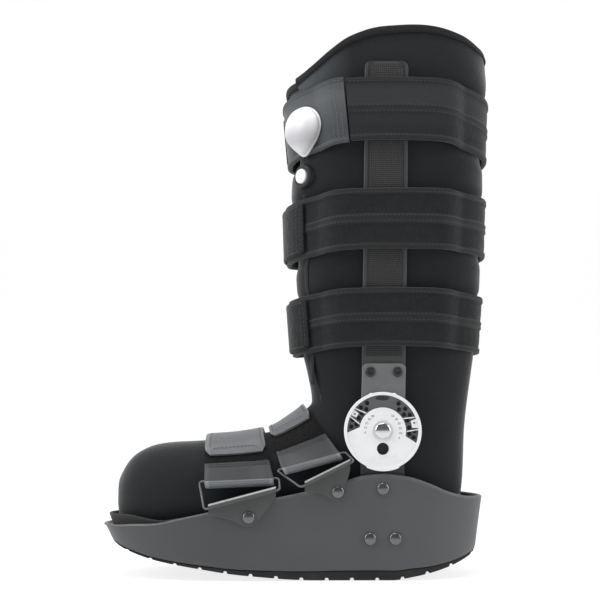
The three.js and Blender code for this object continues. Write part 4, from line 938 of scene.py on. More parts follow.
def strapLift(angle, z):
    off = np.abs(np.abs(angle) - pi / 2)
    flat, end = (math.radians(a) for a in strap["bridge"])
    bridge = 1 - smooth(off, flat, end)
    hollow = legHalfAt(z) - np.abs(legPoint(z, angle, 0)[..., 1])
    return strap["slack"] + bridge * (hinge["plate"] + strap["rimRise"] + gap + hollow)


def strapPoint(band, angle, up, out):
    turn = np.mod(angle + pi, 2 * pi) - pi
    middle = strapMiddle(band, turn)
    width = strap["width"] / 2 * band["width"]
    lift = strapLift(turn, middle) + out
    low, high = legPoint(middle - width, turn, lift), legPoint(middle + width, turn, lift)
    share = np.asarray((up + width) / (2 * width))[..., None]
    return low + (high - low) * share


# The liner is pressed in under each strap and swells a little between them, clear of the uprights.
def linerRelief(angle, z):
    press = 0
    for band in legStraps:
        away = np.abs(z - strapMiddle(band, angle)) - strap["width"] / 2 * band["width"]
        press = press + 1 - smooth(away, -2, 9)
    free = smooth(np.abs(np.abs(angle) - pi / 2), math.radians(22), math.radians(50))
    high = smooth(z, 165, 200) * (1 - smooth(z, edgeAt(angle) - 26, edgeAt(angle) - 8))
    swell = (1 - np.clip(press, 0, 1)) * leg["swell"] - np.clip(press, 0, 1) * leg["press"]
    bulge = 1 - smooth(np.abs(z / leg["height"] - leg["puffAt"]), 0.012, 0.05)
    bulge = bulge * (1 - smooth(np.abs(angle), math.radians(20), math.radians(62))) * leg["puff"]
    return free * high * swell + bulge


def makeLiner():
    degrees = set(np.linspace(0, 180, 61))
    edge = math.degrees(leg["flapEdge"])
    wide = math.degrees(leg["flapHalf"])
    degrees |= {edge + wide * s for s in (-1.5, -1, -0.6, -0.2, 0.2, 0.6, 1, 1.5)}
    degrees = [0.0] + [d for d in sorted(degrees) if 0.4 < d < 179.6] + [180.0]
    halfTurn = np.radians(np.array(degrees))
    angles = np.concatenate([-halfTurn, halfTurn[1:-1][::-1]])
    footSteps = np.concatenate([np.linspace(0, 3, 14, endpoint=False), np.linspace(3, 15.96, 54)])
    legSteps = np.concatenate([np.linspace(0, 0.93, 70), [0.95, 0.97, 0.985, 1]])

    def rowFoot(at, inset):
        z = footPoint(at, angles, 0)[:, 2]
        wave = 0
        if not inset:
            wave = uneven(angles * 40, at * 14, 22) * leg["waver"] * smooth(at, 1, 3)
            wave = wave * smooth(np.abs(np.abs(angles) - pi / 2), 0.2, 0.6)
        return footPoint(at, angles, flapInset(angles, z) - inset + np.minimum(wave, 0.2))

    def rowLeg(step, inset):
        z = lerp(legStart, edgeAt(angles), step)
        wave = 0
        if not inset:
            wave = uneven(angles * 60, z, 26) * leg["waver"]
            wave = wave * smooth(np.abs(np.abs(angles) - pi / 2), math.radians(16), math.radians(40))
            wave = np.minimum(wave, 0.35) + linerRelief(angles, z)
        return legPoint(z, angles, flapInset(angles, z) - inset + wave * (1 - smooth(step, 0.93, 1)))

    outer = [rowFoot(at, 0) for at in footSteps] + [rowLeg(s, 0) for s in legSteps]
    inner = [rowLeg(s, leg["wall"]) for s in legSteps[::-1][::2]]
    inner += [rowFoot(at, leg["wall"]) for at in footSteps[::-1][::2] if at > 1.9]
    split = len(outer) - 1
    across = np.linspace(0, 0.42, len(angles) + 1)
    return skin("linerBoot", outer + inner, ["liner", "lining"], caps="pairs", across=across,
                slotOf=lambda r, c: 1 if r >= split else 0, sharp=60), angles


liner, linerAngles = makeLiner()
onBoot(liner, "liner", "liner")

binding = {"thick": 1.4, "depth": 3.4, "room": 0.7}


def makeBinding():
    t, wall, slack = binding["thick"], leg["wall"], strap["slack"]
    outer, inner = gap, -wall - binding["room"]
    outline = [(inner, -binding["depth"]), (inner, slack), (outer, slack), (outer, -binding["depth"])]
    rim = [(outer + t * 0.5, -binding["depth"] - 0.5), (outer + t, -binding["depth"] + 0.3),
           (outer + t, -1.5)]
    for turn in np.linspace(0, pi, 11):
        middle, reach = (outer + inner) / 2, (outer - inner) / 2 + t
        rim.append((middle + reach * math.cos(turn), slack + 0.4 + (t + 0.6) * math.sin(turn) ** 0.8))
    rim += [(inner - t, -1.5), (inner - t, -binding["depth"] + 0.3),
            (inner - t * 0.5, -binding["depth"] - 0.5)]
    step = flapInset(linerAngles, leg["height"])
    edge = edgeAt(linerAngles)
    rows = np.array([legPoint(edge + up, linerAngles, out + step) for out, up in outline + rim])
    return skin("topBinding", rows.transpose(1, 0, 2), ["binding"], ring=True, sharp=50)


onBoot(makeBinding(), "binding", "top_binding")
print("liner is made")


# Straps: edges bound with tape, a raised band along the middle, and felt between them. A point of an
# outline is its distance out and up, and 1 where the tape covers it.
def strapOutline(thick, ribbed=True, width=None):
    wide = (width or strap["width"]) / 2
    b, rib = strap["binding"], strap["rib"]
    if not ribbed:
        return [(0, -wide + 0.6, 0), (0, wide - 0.6, 0), (thick * 0.5, wide, 0), (thick, wide - 0.7, 0),
                (thick + 0.15, wide - 3, 0), (thick + 0.15, -wide + 3, 0), (thick, -wide + 0.7, 0),
                (thick * 0.5, -wide, 0)]
    right = [(0, 0), (0, wide - 1), (thick * 0.3, wide - 0.1), (thick * 0.75, wide + 0.15),
             (thick + rib * 0.7, wide - 0.3), (thick + rib, wide - 1.2), (thick + rib, wide - b + 1.2),
             (thick + rib * 0.75, wide - b + 0.4), (thick + 0.1, wide - b - 0.1),
             (thick - 0.1, wide - b - 0.5),
             (thick + 0.15, wide * 0.62), (thick + 0.15, wide * 0.38),
             (thick - 0.1, strap["ribHalf"] + 0.7), (thick + 0.1, strap["ribHalf"] + 0.25),
             (thick + rib * 0.8, strap["ribHalf"] - 0.35), (thick + rib, strap["ribHalf"] - 1.1),
             (thick + rib * 0.9, 0.9), (thick + rib * 0.45, 0)]
    kinds = [0, 0, 1, 1, 1, 1, 1, 1, 0, 0, 0, 0, 0, 1, 1, 1, 1, 1]
    whole = [(o, u, k) for (o, u), k in zip(right, kinds)]
    return whole + [(o, -u, k) for o, u, k in whole[-2:0:-1]]


def strapGrid(band, outline, angles, waver=0.35, lift=0.0):
    rows = []
    for out, up, _ in outline:
        sway = uneven(angles * 55, up * 0.6 + band["height"] * 300, 14) * waver
        puff = uneven(angles * 70 + 9, up + band["height"] * 500, 9) * waver * 0.45
        raised = out + lift + (puff if out > 1 else 0)
        rows.append(strapPoint(band, angles, up * band["width"] + sway, raised))
    return np.array(rows).transpose(1, 0, 2)


# Where the panel, the top strap and the tabs end, by angle round the leg from its front
strapEnds = {"panelFrom": math.radians(-69), "panelTo": math.radians(18), "gap": math.radians(1),
             "tabFrom": math.radians(-37.5), "tabTo": math.radians(60), "topTab": math.radians(10)}


def makeStrap(band):
    outline = strapOutline(strap["thick"])
    name = "legStrap" + band["name"].capitalize()
    if band["name"] == "top":
        start = strapEnds["panelTo"] + strapEnds["gap"]
        angles = np.linspace(start, 2 * pi + strapEnds["panelFrom"] - strapEnds["gap"], 132)
    else:
        angles = np.linspace(0, 2 * pi, 168, endpoint=False)
    ring = band["name"] != "top"
    piece = skin(name, strapGrid(band, outline, angles), ["strap", "strapBinding"], ring=ring,
                 caps=None if ring else "flat", slotOf=lambda r, c: outline[c][2], sharp=55)
    onBoot(piece, "leg_strap", "leg_strap_" + band["name"])
    line = strapPoint(band, angles, 0, 2)
    strap["width"] * band["width"] * mm


def strapNormal(band, angles, up, out):
    return strapPoint(band, angles, up, out + 1) - strapPoint(band, angles, up, out)


def seamLine(band, angles, up, out):
    up = up * band["width"]
    return strapPoint(band, angles, up, out), strapNormal(band, angles, up, out)


def makeTab(band):
    inner = strap["thick"] + (0.45 if band["name"] == "top" else strap["rib"] + strap["slack"])
    start = strapEnds["topTab"] if band["name"] == "top" else strapEnds["tabFrom"]
    angles = np.linspace(start, strapEnds["tabTo"], 44)
    wide = strap["width"] - 2 * strap["tabInset"]
    outline = strapOutline(strap["tab"], False, wide)
    name = "strapTab" + band["name"].capitalize()
    grid = strapGrid(band, outline, angles, 0.2, inner)
    # The free end is cut with round corners.
    for i, pinch in enumerate((0.1, 0.03, 0.006)):
        grid[i] = grid[i] + (grid[i].mean(axis=0) - grid[i]) * pinch
    piece = skin(name, grid, ["strap"], caps="flat", sharp=55)
    onBoot(piece, "leg_strap", "strap_tab_" + band["name"])
    line = strapPoint(band, angles, 0, inner)
    wide * band["width"] * mm
    "legStrap" + band["name"].capitalize()
    top = inner + strap["tab"] + 0.1
    inset = math.radians(3.2)
    ups = np.linspace(-wide / 2 + 3, wide / 2 - 3, 12)
    lines = []
    for turn in (start + inset, start + inset * 2.2):
        lines.append((strapPoint(band, np.full(12, turn), ups * band["width"], top),
                      strapNormal(band, np.full(12, turn), ups * band["width"], top)))
    for up in (-wide / 2 + 2.6, wide / 2 - 2.6):
        lines.append(seamLine(band, angles[2:-1], up, top))
    sewn = stitchesAlong(name + "Stitches", lines, "thread")
    onBoot(sewn, "leg_strap")


for band in legStraps:
    makeStrap(band)
    makeTab(band)
    top = strap["thick"] + strap["rib"] + 0.02
    if band["name"] == "top":
        around = np.linspace(strapEnds["panelTo"] + 0.03, 2 * pi + strapEnds["panelFrom"] - 0.03, 120)
    else:
        around = np.linspace(0, 2 * pi, 150)
    wide = strap["width"] / 2
    lines = [seamLine(band, around, up, top) for up in
             (wide - strap["binding"] + 1.3, -wide + strap["binding"] - 1.3, 2.2, -2.2)]
    name = "strapStitches" + band["name"].capitalize()
    sewn = stitchesAlong(name, lines, "thread", 2.2, 3.2, 0.3, 0.2)
    onBoot(sewn, "leg_strap")
print("leg straps are made")

topStrap = legStraps[0]
panel = {"stitches": (-66.5, -63.8, -61.4), "bound": 3.4, "bindRise": 0.7}


def makePanel():
    angles = np.linspace(strapEnds["panelFrom"], strapEnds["panelTo"], 56)
    wide = strap["width"] / 2 + strap["overlap"]
    thick = strap["thick"]
    rise, bound = panel["bindRise"], panel["bound"]
    outline = [(0, -wide, 1), (0, wide, 1), (thick * 0.6, wide + 0.4, 1), (thick + rise, wide - 0.4, 1),
               (thick + rise, wide - bound + 0.6, 1), (thick, wide - bound, 0),
               (thick + 0.2, wide * 0.5, 0), (thick + 0.2, 0, 0), (thick + 0.2, -wide * 0.5, 0),
               (thick, -wide + bound, 1),
               (thick + rise, -wide + bound - 0.6, 1), (thick + rise, -wide + 0.4, 1),
               (thick * 0.6, -wide - 0.4, 1)]
    piece = skin("pumpPanel", strapGrid(topStrap, outline, angles, 0.25), ["panel", "panelBinding"],
                 caps="flat", slotOf=lambda r, c: outline[c][2], sharp=55)
    onBoot(piece, "panel", "pump_panel")
    line = strapPoint(topStrap, angles, 0, 2)
    2 * wide * topStrap["width"] * mm
    ups = np.linspace(-wide + 2, wide - 2, 24)
    lines = []
    for i, turn in enumerate(panel["stitches"]):
        step = 0 if i == 1 else 0.55
        zigzag = np.radians(turn + step * (-1) ** np.arange(24))
        lines.append((strapPoint(topStrap, zigzag, ups, thick + 0.3),
                      strapNormal(topStrap, zigzag, ups, thick + 0.3)))
    for up in (wide - bound + 1, -wide + bound - 1):
        lines.append(seamLine(topStrap, angles[1:-1], up, thick + rise + 0.05))
    onBoot(stitchesAlong("panelStitches", lines, "paleThread", 1.8, 2.5, 0.26, 0.2), "panel")


makePanel()

pump = {"turn": math.radians(-36), "width": 37, "height": 37, "drop": 6, "rise": 10, "pinch": 0.42,
        "point": 0.06, "flange": 0.985}


def makePump():
    middle = strapPoint(topStrap, pump["turn"], 0.0, 0.0)
    nearby = strapPoint(topStrap, pump["turn"] + tinyTurn, 0.0, 0.0)
    perRadian = float(np.linalg.norm(nearby - middle)) / tinyTurn
    seat = strap["thick"] + 2 * gap
    turns = np.linspace(0, 2 * pi, 72, endpoint=False)
    down = np.maximum(0, -np.sin(turns))
    x = np.cos(turns) * (1 - pump["pinch"] * down ** 1.6) / 2
    y = np.sin(turns) / 2 - pump["point"] * down ** 4
    # A thin flange, a groove, and the dome over it
    profile = [(pump["flange"], -0.02), (pump["flange"] + 0.01, 0.06), (pump["flange"], 0.11),
               (0.955, 0.13), (0.945, 0.14)]
    profile += [(0.94 * math.cos(t) ** 0.85, 0.14 + 0.86 * math.sin(t)) for t in np.linspace(0.1, 1.53, 17)]
    rows = []
    for scale, rise in profile:
        angle = pump["turn"] + x * pump["width"] * scale / perRadian
        up = y * pump["height"] * scale - pump["drop"]
        rows.append(strapPoint(topStrap, angle, up, seat + rise * pump["rise"]))
    bulb = skin("pumpBulb", rows, ["pearl"], caps="pairs", sharp=60)
    onBoot(bulb, "bulb", "pump_bulb")


makePump()

valve = {"radius": 9.5, "rise": 6.5, "floor": 1.2, "lip": 1.4, "button": 5.8,
         "buttonRise": 1.6, "bevel": 0.9, "travel": 2, "ridges": 30}


def turnedPiece(name, profile, place, normal, material, count=64, ridges=0, depth=0.0):
    normal = Vector(normal).normalized()
    side = Vector((0, 0, 1)).cross(normal).normalized()
    up = normal.cross(side)
    rows = []
    for r, h, *ridged in profile:
        row = []
        for i in range(count):
            t = 2 * pi * i / count
            radius = r - (depth if ridged and ridged[0] and math.cos(t * ridges) < 0 else 0)
            p = side * (radius * math.cos(t)) + up * (radius * math.sin(t)) + normal * h
            row.append(Vector(place) + p)
        rows.append(row)
    return skin(name, rows, [material], caps="flat", sharp=35)


def strapEdge(band, way):
    return float(strapMiddle(band, pump["turn"])) + way * strap["width"] * band["width"] / 2


valveZ = (strapEdge(legStraps[0], -1) + strapEdge(legStraps[1], 1)) / 2
valveOrigin = legPoint(valveZ, pump["turn"], gap)
valveNormal = legPoint(valveZ, pump["turn"], gap + 1) - valveOrigin
valveNormal[2] = 0


def makeValve():
    r, h, bore, lip = valve["radius"], valve["rise"], valve["button"] + gap, valve["lip"]
    collar = [(r - 0.6, 0), (r, 0.5), (r, 1.0, 1), (r, h - lip, 1), (r - 0.3, h - lip * 0.6),
              (r - lip, h), (bore + 0.3, h), (bore, h - 0.3), (bore, valve["floor"]),
              (bore * 0.5, valve["floor"])]
    piece = turnedPiece("valveCollar", collar, valveOrigin, valveNormal, "collar", 180,
                        valve["ridges"], 0.35)
    onBoot(piece, "collar", "valve_collar")
    foot = valve["floor"] + gap + valve["travel"]
    top = h + valve["buttonRise"]
    b = valve["button"]
    button = [(b * 0.5, foot), (b - 0.1, foot), (b, foot + 0.2), (b, top - valve["bevel"])]
    button += [(b - valve["bevel"] * (1 - math.cos(t)), top - valve["bevel"] * (1 - math.sin(t)))
               for t in np.linspace(0.2, pi / 2, 6)]
    button += [(b * 0.62, top - 0.05), (b * 0.5, top - 0.35), (b * 0.25, top - 0.45)]
    piece = turnedPiece("valveButton", button, valveOrigin, valveNormal, "pearl")
    onBoot(piece, "bulb", "valve_button", body="valve_button")


makeValve()
print("pump and valve are made")

# The uprights
upright = {"top": 395.5, "bottom": 143.5, "rim": 2.8, "rimRise": 0.6, "offset": 1, "lean": 5,
           "corner": 5, "tape": 0.5, "tapeAbove": 3}


def strutX(z):
    return upright["offset"] + (z - hinge["height"]) / leg["height"] * upright["lean"]


def strutRows(bottom, top, corner, outlineAt, way, flatFrom=None):
    straight = np.linspace(bottom, top - corner, 60)
    rounded = top - corner + corner * np.sin(np.linspace(0.15, pi / 2, 9))
    rows = []
    for z in np.concatenate([straight, rounded]):
        into = max(z - (top - corner), 0) / corner
        narrow = corner * (1 - math.sqrt(max(1 - into ** 2, 0)))
        raised = 1.0 if flatFrom is None else float(smooth(z, flatFrom, flatFrom + 2.5))
        out = float(legHalfAt(z)) + gap
        rows.append([(strutX(z) + x, way * (out + o), z) for x, o in outlineAt(narrow, raised)])
    return rows


for side, way in sides.items():
    plain = hinge["height"] + hinge["rise"] + gap

    def barOutline(narrow, raised):
        wide, rim = half - narrow, upright["rim"]
        t, rise = hinge["plate"], upright["rimRise"] * raised
        inner = wide - rim
        right = [(wide - 0.3, 0), (wide, 0.3), (wide, t + rise - 0.35), (wide - 0.35, t + rise),
                 (inner + 1.5, t + rise), (inner + 1.3, t + rise - 0.25 * raised),
                 (inner + 1.1, t + rise - 0.25 * raised), (inner + 0.9, t + rise),
                 (inner + 0.2, t + rise), (inner - 0.25, t)]
        return right + [(-x, o) for x, o in right[::-1]]

    bar = strutRows(upright["bottom"], upright["top"], upright["corner"], barOutline, way, plain)
    piece = skin("strut" + side.capitalize(), bar, ["strut"], caps="flat", sharp=32)
    onBoot(piece, "strut", "strut_" + side)

    def tapeOutline(narrow, raised):
        wide = half - upright["rim"] - upright["rimRise"] - gap - narrow
        low = hinge["plate"] + gap
        return [(wide, low), (wide, low + upright["tape"]), (-wide, low + upright["tape"]), (-wide, low)]

    bottom = hinge["height"] + hinge["rise"] + upright["tapeAbove"] + upright["rim"]
    tape = strutRows(bottom, upright["top"] - upright["rim"], upright["corner"] / 2, tapeOutline, way)
    piece = skin("hookTape" + side.capitalize(), tape, ["hooks"], caps="flat", sharp=30)
    onBoot(piece, "tape", "hook_tape_" + side)
print("uprights are made")


# Hinge plates
def arcLine(x, z, radius, start, end, count):
    turns = np.radians(np.linspace(start, end, count))
    return [(x + radius * math.cos(t), z + radius * math.sin(t)) for t in turns]


def hole(x, z, radius, count=24):
    return arcLine(x, z, radius, 360, 360 / count, count)


pivotZ = hinge["height"]
plateTop = pivotZ + hinge["rise"]
plateCorners = {"arm": 3, "bracket": 4}
# Rivets: their shank, the dark ones' dimple, and each kind's head by radius and rise
rivets = {"shank": 2.1, "dimple": 0.45, "bracket": (3.9, 1.45), "arm": (4.6, 1.8), "pivot": (6, 1.8)}
shellRivets = {"foot_strap": (0.39, 0.594), "ankle_strap": (0.6133, 0.828)}
armRivets = {"top": (0, 0.857), "front": (-0.3, 0.39), "back": (0.27, 0.39)}
dialLook = {"from": -20, "to": 183, "skewLeft": 12, "skewRight": 7, "tabBottom": (246, 293),
            "tabTop": (72, 108), "bump": 0.9, "hub": 8.5, "hole": 1.7, "rimRise": 0.9,
            "arcs": ((20.6, 0.5), (24.2, 0.6)), "notch": (5.4, 1.7, 24.6), "edge": 0.42}
stopHoles = table("radius turns", [
    (24.0, (119, 133, 160, 172.5, 59, 44, 30, -0.5, -12)),
    (20.35, (127, 140, 152, 166, 52, 37, 23, 7, -6.5))])
# Each stop's key: the span of its head, and its two edges by outer and inner angle
stopKeys = [{"head": (143.5, 154), "edges": ((141, 133), (156, 164)), "pin": 149},
            {"head": (4.5, 20), "edges": ((22.4, 30.7), (2, -1.5)), "pin": 14}]


def rivetLook(name, kind, x, out, z, way, material, length, shank=rivets["shank"], dimple=0.0, count=40):
    head, rise = rivets[kind]
    profile = [(shank, -length), (shank, 0), (head * 0.97, 0), (head, 0.15)]
    last = 0.95 if dimple else 1.5
    profile += [(head * math.cos(t), 0.15 + (rise - 0.15) * math.sin(t)) for t in np.linspace(0.2, last, 9)]
    if dimple:
        profile += [(head * 0.42, rise - dimple), (head * 0.15, rise - dimple * 1.2)]
    return turnedPiece(name, profile, (x, way * out, z), (0, way, 0), material, count)


def number(text, size):
    curve = bpy.data.curves.new("number", "FONT")
    curve.body = text
    curve.size = size
    curve.align_x = "CENTER"
    curve.align_y = "CENTER"
    curve.extrude = 0.03
    curve.resolution_u = 3
    made = meshOf(bpy.data.objects.new("number", curve))
    return [tuple(v.co) for v in made.vertices], [tuple(p.vertices) for p in made.polygons]


dialScale = {"radius": 13.4, "size": 2.5,
             "marks": [(186, "0"), (170, "10"), (155, "20"), (140, "30"), (125, "40"),
                       (-24, "0"), (-8, "10"), (8, "20"), (24, "30"), (40, "40"), (56, "50")]}


def makeDial(side, way):
    end = side.capitalize()
    radius = hinge["dial"]
    outer = []
    low, high = dialLook["tabBottom"]
    for t in np.linspace(0, 360, 240, endpoint=False):
        grow = dialLook["bump"] * float(smooth(t, low - 2, low) * (1 - smooth(t, high, high + 2)))
        for bump in dialLook["tabTop"]:
            nib = smooth(t, bump - 3, bump - 1) * (1 - smooth(t, bump + 1, bump + 3))
            grow += dialLook["bump"] * 0.7 * float(nib)
        a = math.radians(t)
        outer.append(((radius + grow) * math.cos(a), pivotZ + (radius + grow) * math.sin(a)))
    windowOuter = radius - hinge["rim"]
    innerTo = dialLook["to"] - dialLook["skewLeft"]
    innerFrom = dialLook["from"] + dialLook["skewRight"]
    window = arcLine(0, pivotZ, windowOuter, dialLook["from"], dialLook["to"], 72)
    window += arcLine(0, pivotZ, hinge["window"], innerTo, innerFrom, 60)
    hub, sightZ = dialLook["hub"], pivotZ - hinge["sightDrop"]
    loops = [outer, window[::-1], hole(0, pivotZ, hinge["shank"] + gap),
             hole(0, sightZ, hinge["sight"], 36)]
    face = dialOuter - dialLook["rimRise"]
    disc = plateFrom("dial" + end, loops, dialInner, face, way, "dial", 0.45)
    onBoot(disc, "dial", "dial_" + side)
    rings = [
        ("dialRim", [outer, hole(0, pivotZ, windowOuter + 0.25, 96)], face, dialOuter, 0.35),
        ("dialHub", [hole(0, pivotZ, hub, 64), hole(0, pivotZ, hub - 1, 64)], face, face + 0.35, 0.15),
        ("dialSight", [hole(0, sightZ, hinge["sight"] + 0.8, 48), hole(0, sightZ, hinge["sight"], 48)],
         face, face + 0.3, 0.12),
    ]
    # A near-black disc at the bottom of the sight hole is painted shade.
    sightShade = plateFrom("dialWell" + end, [hole(0, sightZ, hinge["sight"] - 0.15, 36)],
                           dialInner + 0.05, dialInner + 0.45, way, "socket", 0.1)
    onBoot(sightShade, "dial")
    for reach, thin in dialLook["arcs"]:
        band = arcLine(0, pivotZ, reach, 243, 300, 30) + arcLine(0, pivotZ, reach - thin, 300, 243, 30)
        rings.append((f"dialArc{int(reach)}", [band], face, face + 0.25, 0.1))
    for name, shape, low, high, soft in rings:
        onBoot(plateFrom(name + end, shape, low - 0.1, high, way, "dial", soft), "dial")
    inner, outerR = hinge["window"] + gap, windowOuter - gap
    shape = arcLine(0, pivotZ, outerR, dialLook["from"] + 1, dialLook["to"] - 1, 72)
    shape += arcLine(0, pivotZ, inner, innerTo - 1, innerFrom + 1, 60)
    loops, places = [shape], []
    for row in stopHoles:
        for turn in row["turns"]:
            t = math.radians(turn)
            places.append((row["radius"] * math.cos(t), pivotZ + row["radius"] * math.sin(t)))
    radius = dialLook["hole"]
    loops += [hole(x, z, radius + 0.1, 20) for x, z in places]
    level = dialInner + hinge["stopThick"]
    plate = plateFrom("stopPlate" + end, loops, dialInner + 0.35, level, way, "steel", 0.2)
    onBoot(plate, "stop_plate", "stop_plate_" + side)
    wide, tall, up = dialLook["notch"]
    notch = [(wide * math.cos(t), pivotZ + up + tall * math.sin(t))
             for t in np.linspace(0, 2 * pi, 40)[:-1]]
    onBoot(plateFrom("stopNotch" + end, [notch], level - 0.1, level + 0.08, way, "arm", 0.06), "stop_plate")
    # The holes' painted shade, a near-black sheet behind them, and their raised rims
    back = arcLine(0, pivotZ, outerR - 0.4, dialLook["from"] + 3, dialLook["to"] - 3, 60)
    back += arcLine(0, pivotZ, inner + 0.4, innerTo - 3, innerFrom + 3, 50)
    onBoot(plateFrom("stopBack" + end, [back], dialInner - 0.2, dialInner + 0.25, way, "socket", 0.1),
           "stop_plate")
    for i, (x, z) in enumerate(places):
        ring = plateFrom(f"stopRim{i}{end}", [hole(x, z, radius + 0.5, 24), hole(x, z, radius, 24)],
                         level - 0.05, level + 0.35, way, "steel", 0.12)
        onBoot(ring, "stop_plate")
    for i, key in enumerate(stopKeys):
        low, high = key["head"]
        pad = arcLine(0, pivotZ, outerR + 0.3, low, high, 12)
        pad += arcLine(0, pivotZ, outerR - 4.2, high - 1, low + 1, 12)
        pin = math.radians(key["pin"])
        x, z = (outerR - 2) * math.cos(pin), pivotZ + (outerR - 2) * math.sin(pin)
        head = plateFrom(f"stopKey{i}{end}", [pad, hole(x, z, 0.75, 20)], level + 0.1, dialOuter - 1.1,
                         way, "dial", 0.3)
        onBoot(head, "dial")
        for j, (outerTurn, innerTurn) in enumerate(key["edges"]):
            a, b = math.radians(outerTurn), math.radians(innerTurn)
            start = np.array(((outerR + 0.3) * math.cos(a), pivotZ + (outerR + 0.3) * math.sin(a)))
            stop = np.array(((inner + 0.1) * math.cos(b), pivotZ + (inner + 0.1) * math.sin(b)))
            along = (stop - start) / np.linalg.norm(stop - start)
            across = np.array((-along[1], along[0])) * dialLook["edge"]
            bar = [tuple(p) for p in (start - across, stop - across, stop + across, start + across)]
            onBoot(plateFrom(f"stopEdge{i}{j}{end}", [bar], level + 0.1, dialOuter - 1.7, way, "dial", 0.15),
                   "dial")
    points, faces = [], []
    for turn, text in dialScale["marks"]:
        verts, polys = number(text, dialScale["size"])
        a = math.radians(turn)
        cx = dialScale["radius"] * math.cos(a)
        cz = pivotZ + dialScale["radius"] * math.sin(a)
        shift = len(points)
        points.extend((cx - way * x, way * (face + 0.02 + z), cz + y) for x, y, z in verts)
        faces.extend(tuple(shift + i for i in poly) for poly in polys)
    onBoot(pieceFrom("dialNumbers" + end, points, faces, ["ink"], sharp=30), "dial")


for side, way in sides.items():
    end = side.capitalize()
    top = plateTop
    x0 = float(strutX(top))
    c = plateCorners["bracket"]
    outline = arcLine(0, pivotZ, half, 180, 360, 48)
    outline += arcLine(x0 + half - c, top - c, c, 0, 90, 10)
    outline += arcLine(x0 - half + c, top - c, c, 90, 180, 10)
    loops = [outline, hole(0, pivotZ, hinge["shank"] + gap)]
    rivetZ, rivetAway = top - hinge["rivetDrop"], hinge["width"] * hinge["rivetOut"]
    loops += [hole(x0 + s * rivetAway, rivetZ, rivets["shank"] + gap) for s in (-1, 1)]
    bracket = plateFrom("bracket" + end, loops, bracketInner, bracketOuter, way, "bracket", 0.55)
    onBoot(bracket, "plate", "bracket_" + side)
    low, c = pivotZ - hinge["drop"], plateCorners["arm"]
    outline = arcLine(0, pivotZ, half, 0, 180, 48)
    outline += [(-half, low + c), (-half + c, low), (half - c, low), (half, low + c)]
    loops = [outline, hole(0, pivotZ, hinge["shank"] + gap)]
    loops += [hole(hinge["width"] * x, base["height"] * z, rivets["shank"] + gap)
              for x, z in armRivets.values()]
    arm = plateFrom("hingeArm" + end, loops, armInner, armOuter, way, "arm", 0.5)
    onBoot(arm, "plate", "hinge_arm_" + side)
    makeDial(side, way)
    pivot = rivetLook("pivotRivet" + end, "pivot", 0, dialOuter + gap, pivotZ, way, "pivot",
                      dialOuter + gap - armInner, hinge["shank"], 0, 64)
    onBoot(pivot, "rivet", "pivot_rivet_" + side)
    for label, s in (("front", -1), ("back", 1)):
        piece = rivetLook("bracketRivet" + label.capitalize() + end, "bracket",
                          x0 + s * hinge["width"] * hinge["rivetOut"], bracketOuter + gap,
                          top - hinge["rivetDrop"], way, "darkRivet", hinge["plate"],
                          rivets["shank"], rivets["dimple"])
        onBoot(piece, "rivet", f"bracket_rivet_{label}_{side}")
    for label, (x, z) in armRivets.items():
        x = hinge["width"] * x
        out = float(planHalf(x, 0, 0)) + gap
        piece = rivetLook("armRivet" + label.capitalize() + end, "arm", x, out, base["height"] * z,
                          way, "rivet", out - armInner)
        onBoot(piece, "rivet", f"arm_rivet_{label}_{side}")
print("hinges are made")

# Foot straps, their rings and the folded plates that hold the rings
foot = {"thick": 2, "wire": 1.3, "wireLook": 0.85, "room": 0.7, "merge": 13, "hem": 1.4, "overlap": 3,
        "corner": 2.6, "chafe": 1.6, "shoulder": 4, "edge": 2, "tip": 1.12, "roll": 2.4}
spans = {"foot_strap": {"from": 6.1, "to": 8.15, "bar": 84, "end": 55},
         "ankle_strap": {"from": 8.75, "to": 11.1, "bar": 76, "end": 36}}
chafes = {"foot_strap": ((0.29, 0.679), (0.458, 0.844)), "ankle_strap": ((0.53, 0.891), (0.644, 1.1))}
curl = foot["wire"] + gap + foot["chafe"] / 2


def upperBar(span, way):
    angle = way * math.radians(span["bar"])
    out = strap["slack"] + foot["thick"] + foot["room"] + foot["wire"]
    middle = (span["from"] + span["to"]) / 2
    nearby = footPoint(middle, angle, 0)
    chord = (footPoint(span["from"], angle, 0) + footPoint(span["to"], angle, 0)) / 2
    bulge = float(np.linalg.norm(nearby - chord))
    ends = [footPoint(at, angle, out + bulge) for at in (span["from"], span["to"])]
    down = footPoint(middle, angle + way * tinyTurn, 0) - nearby
    away = footPoint(middle, angle, 1) - nearby
    return ends, down / np.linalg.norm(down), away / np.linalg.norm(away)


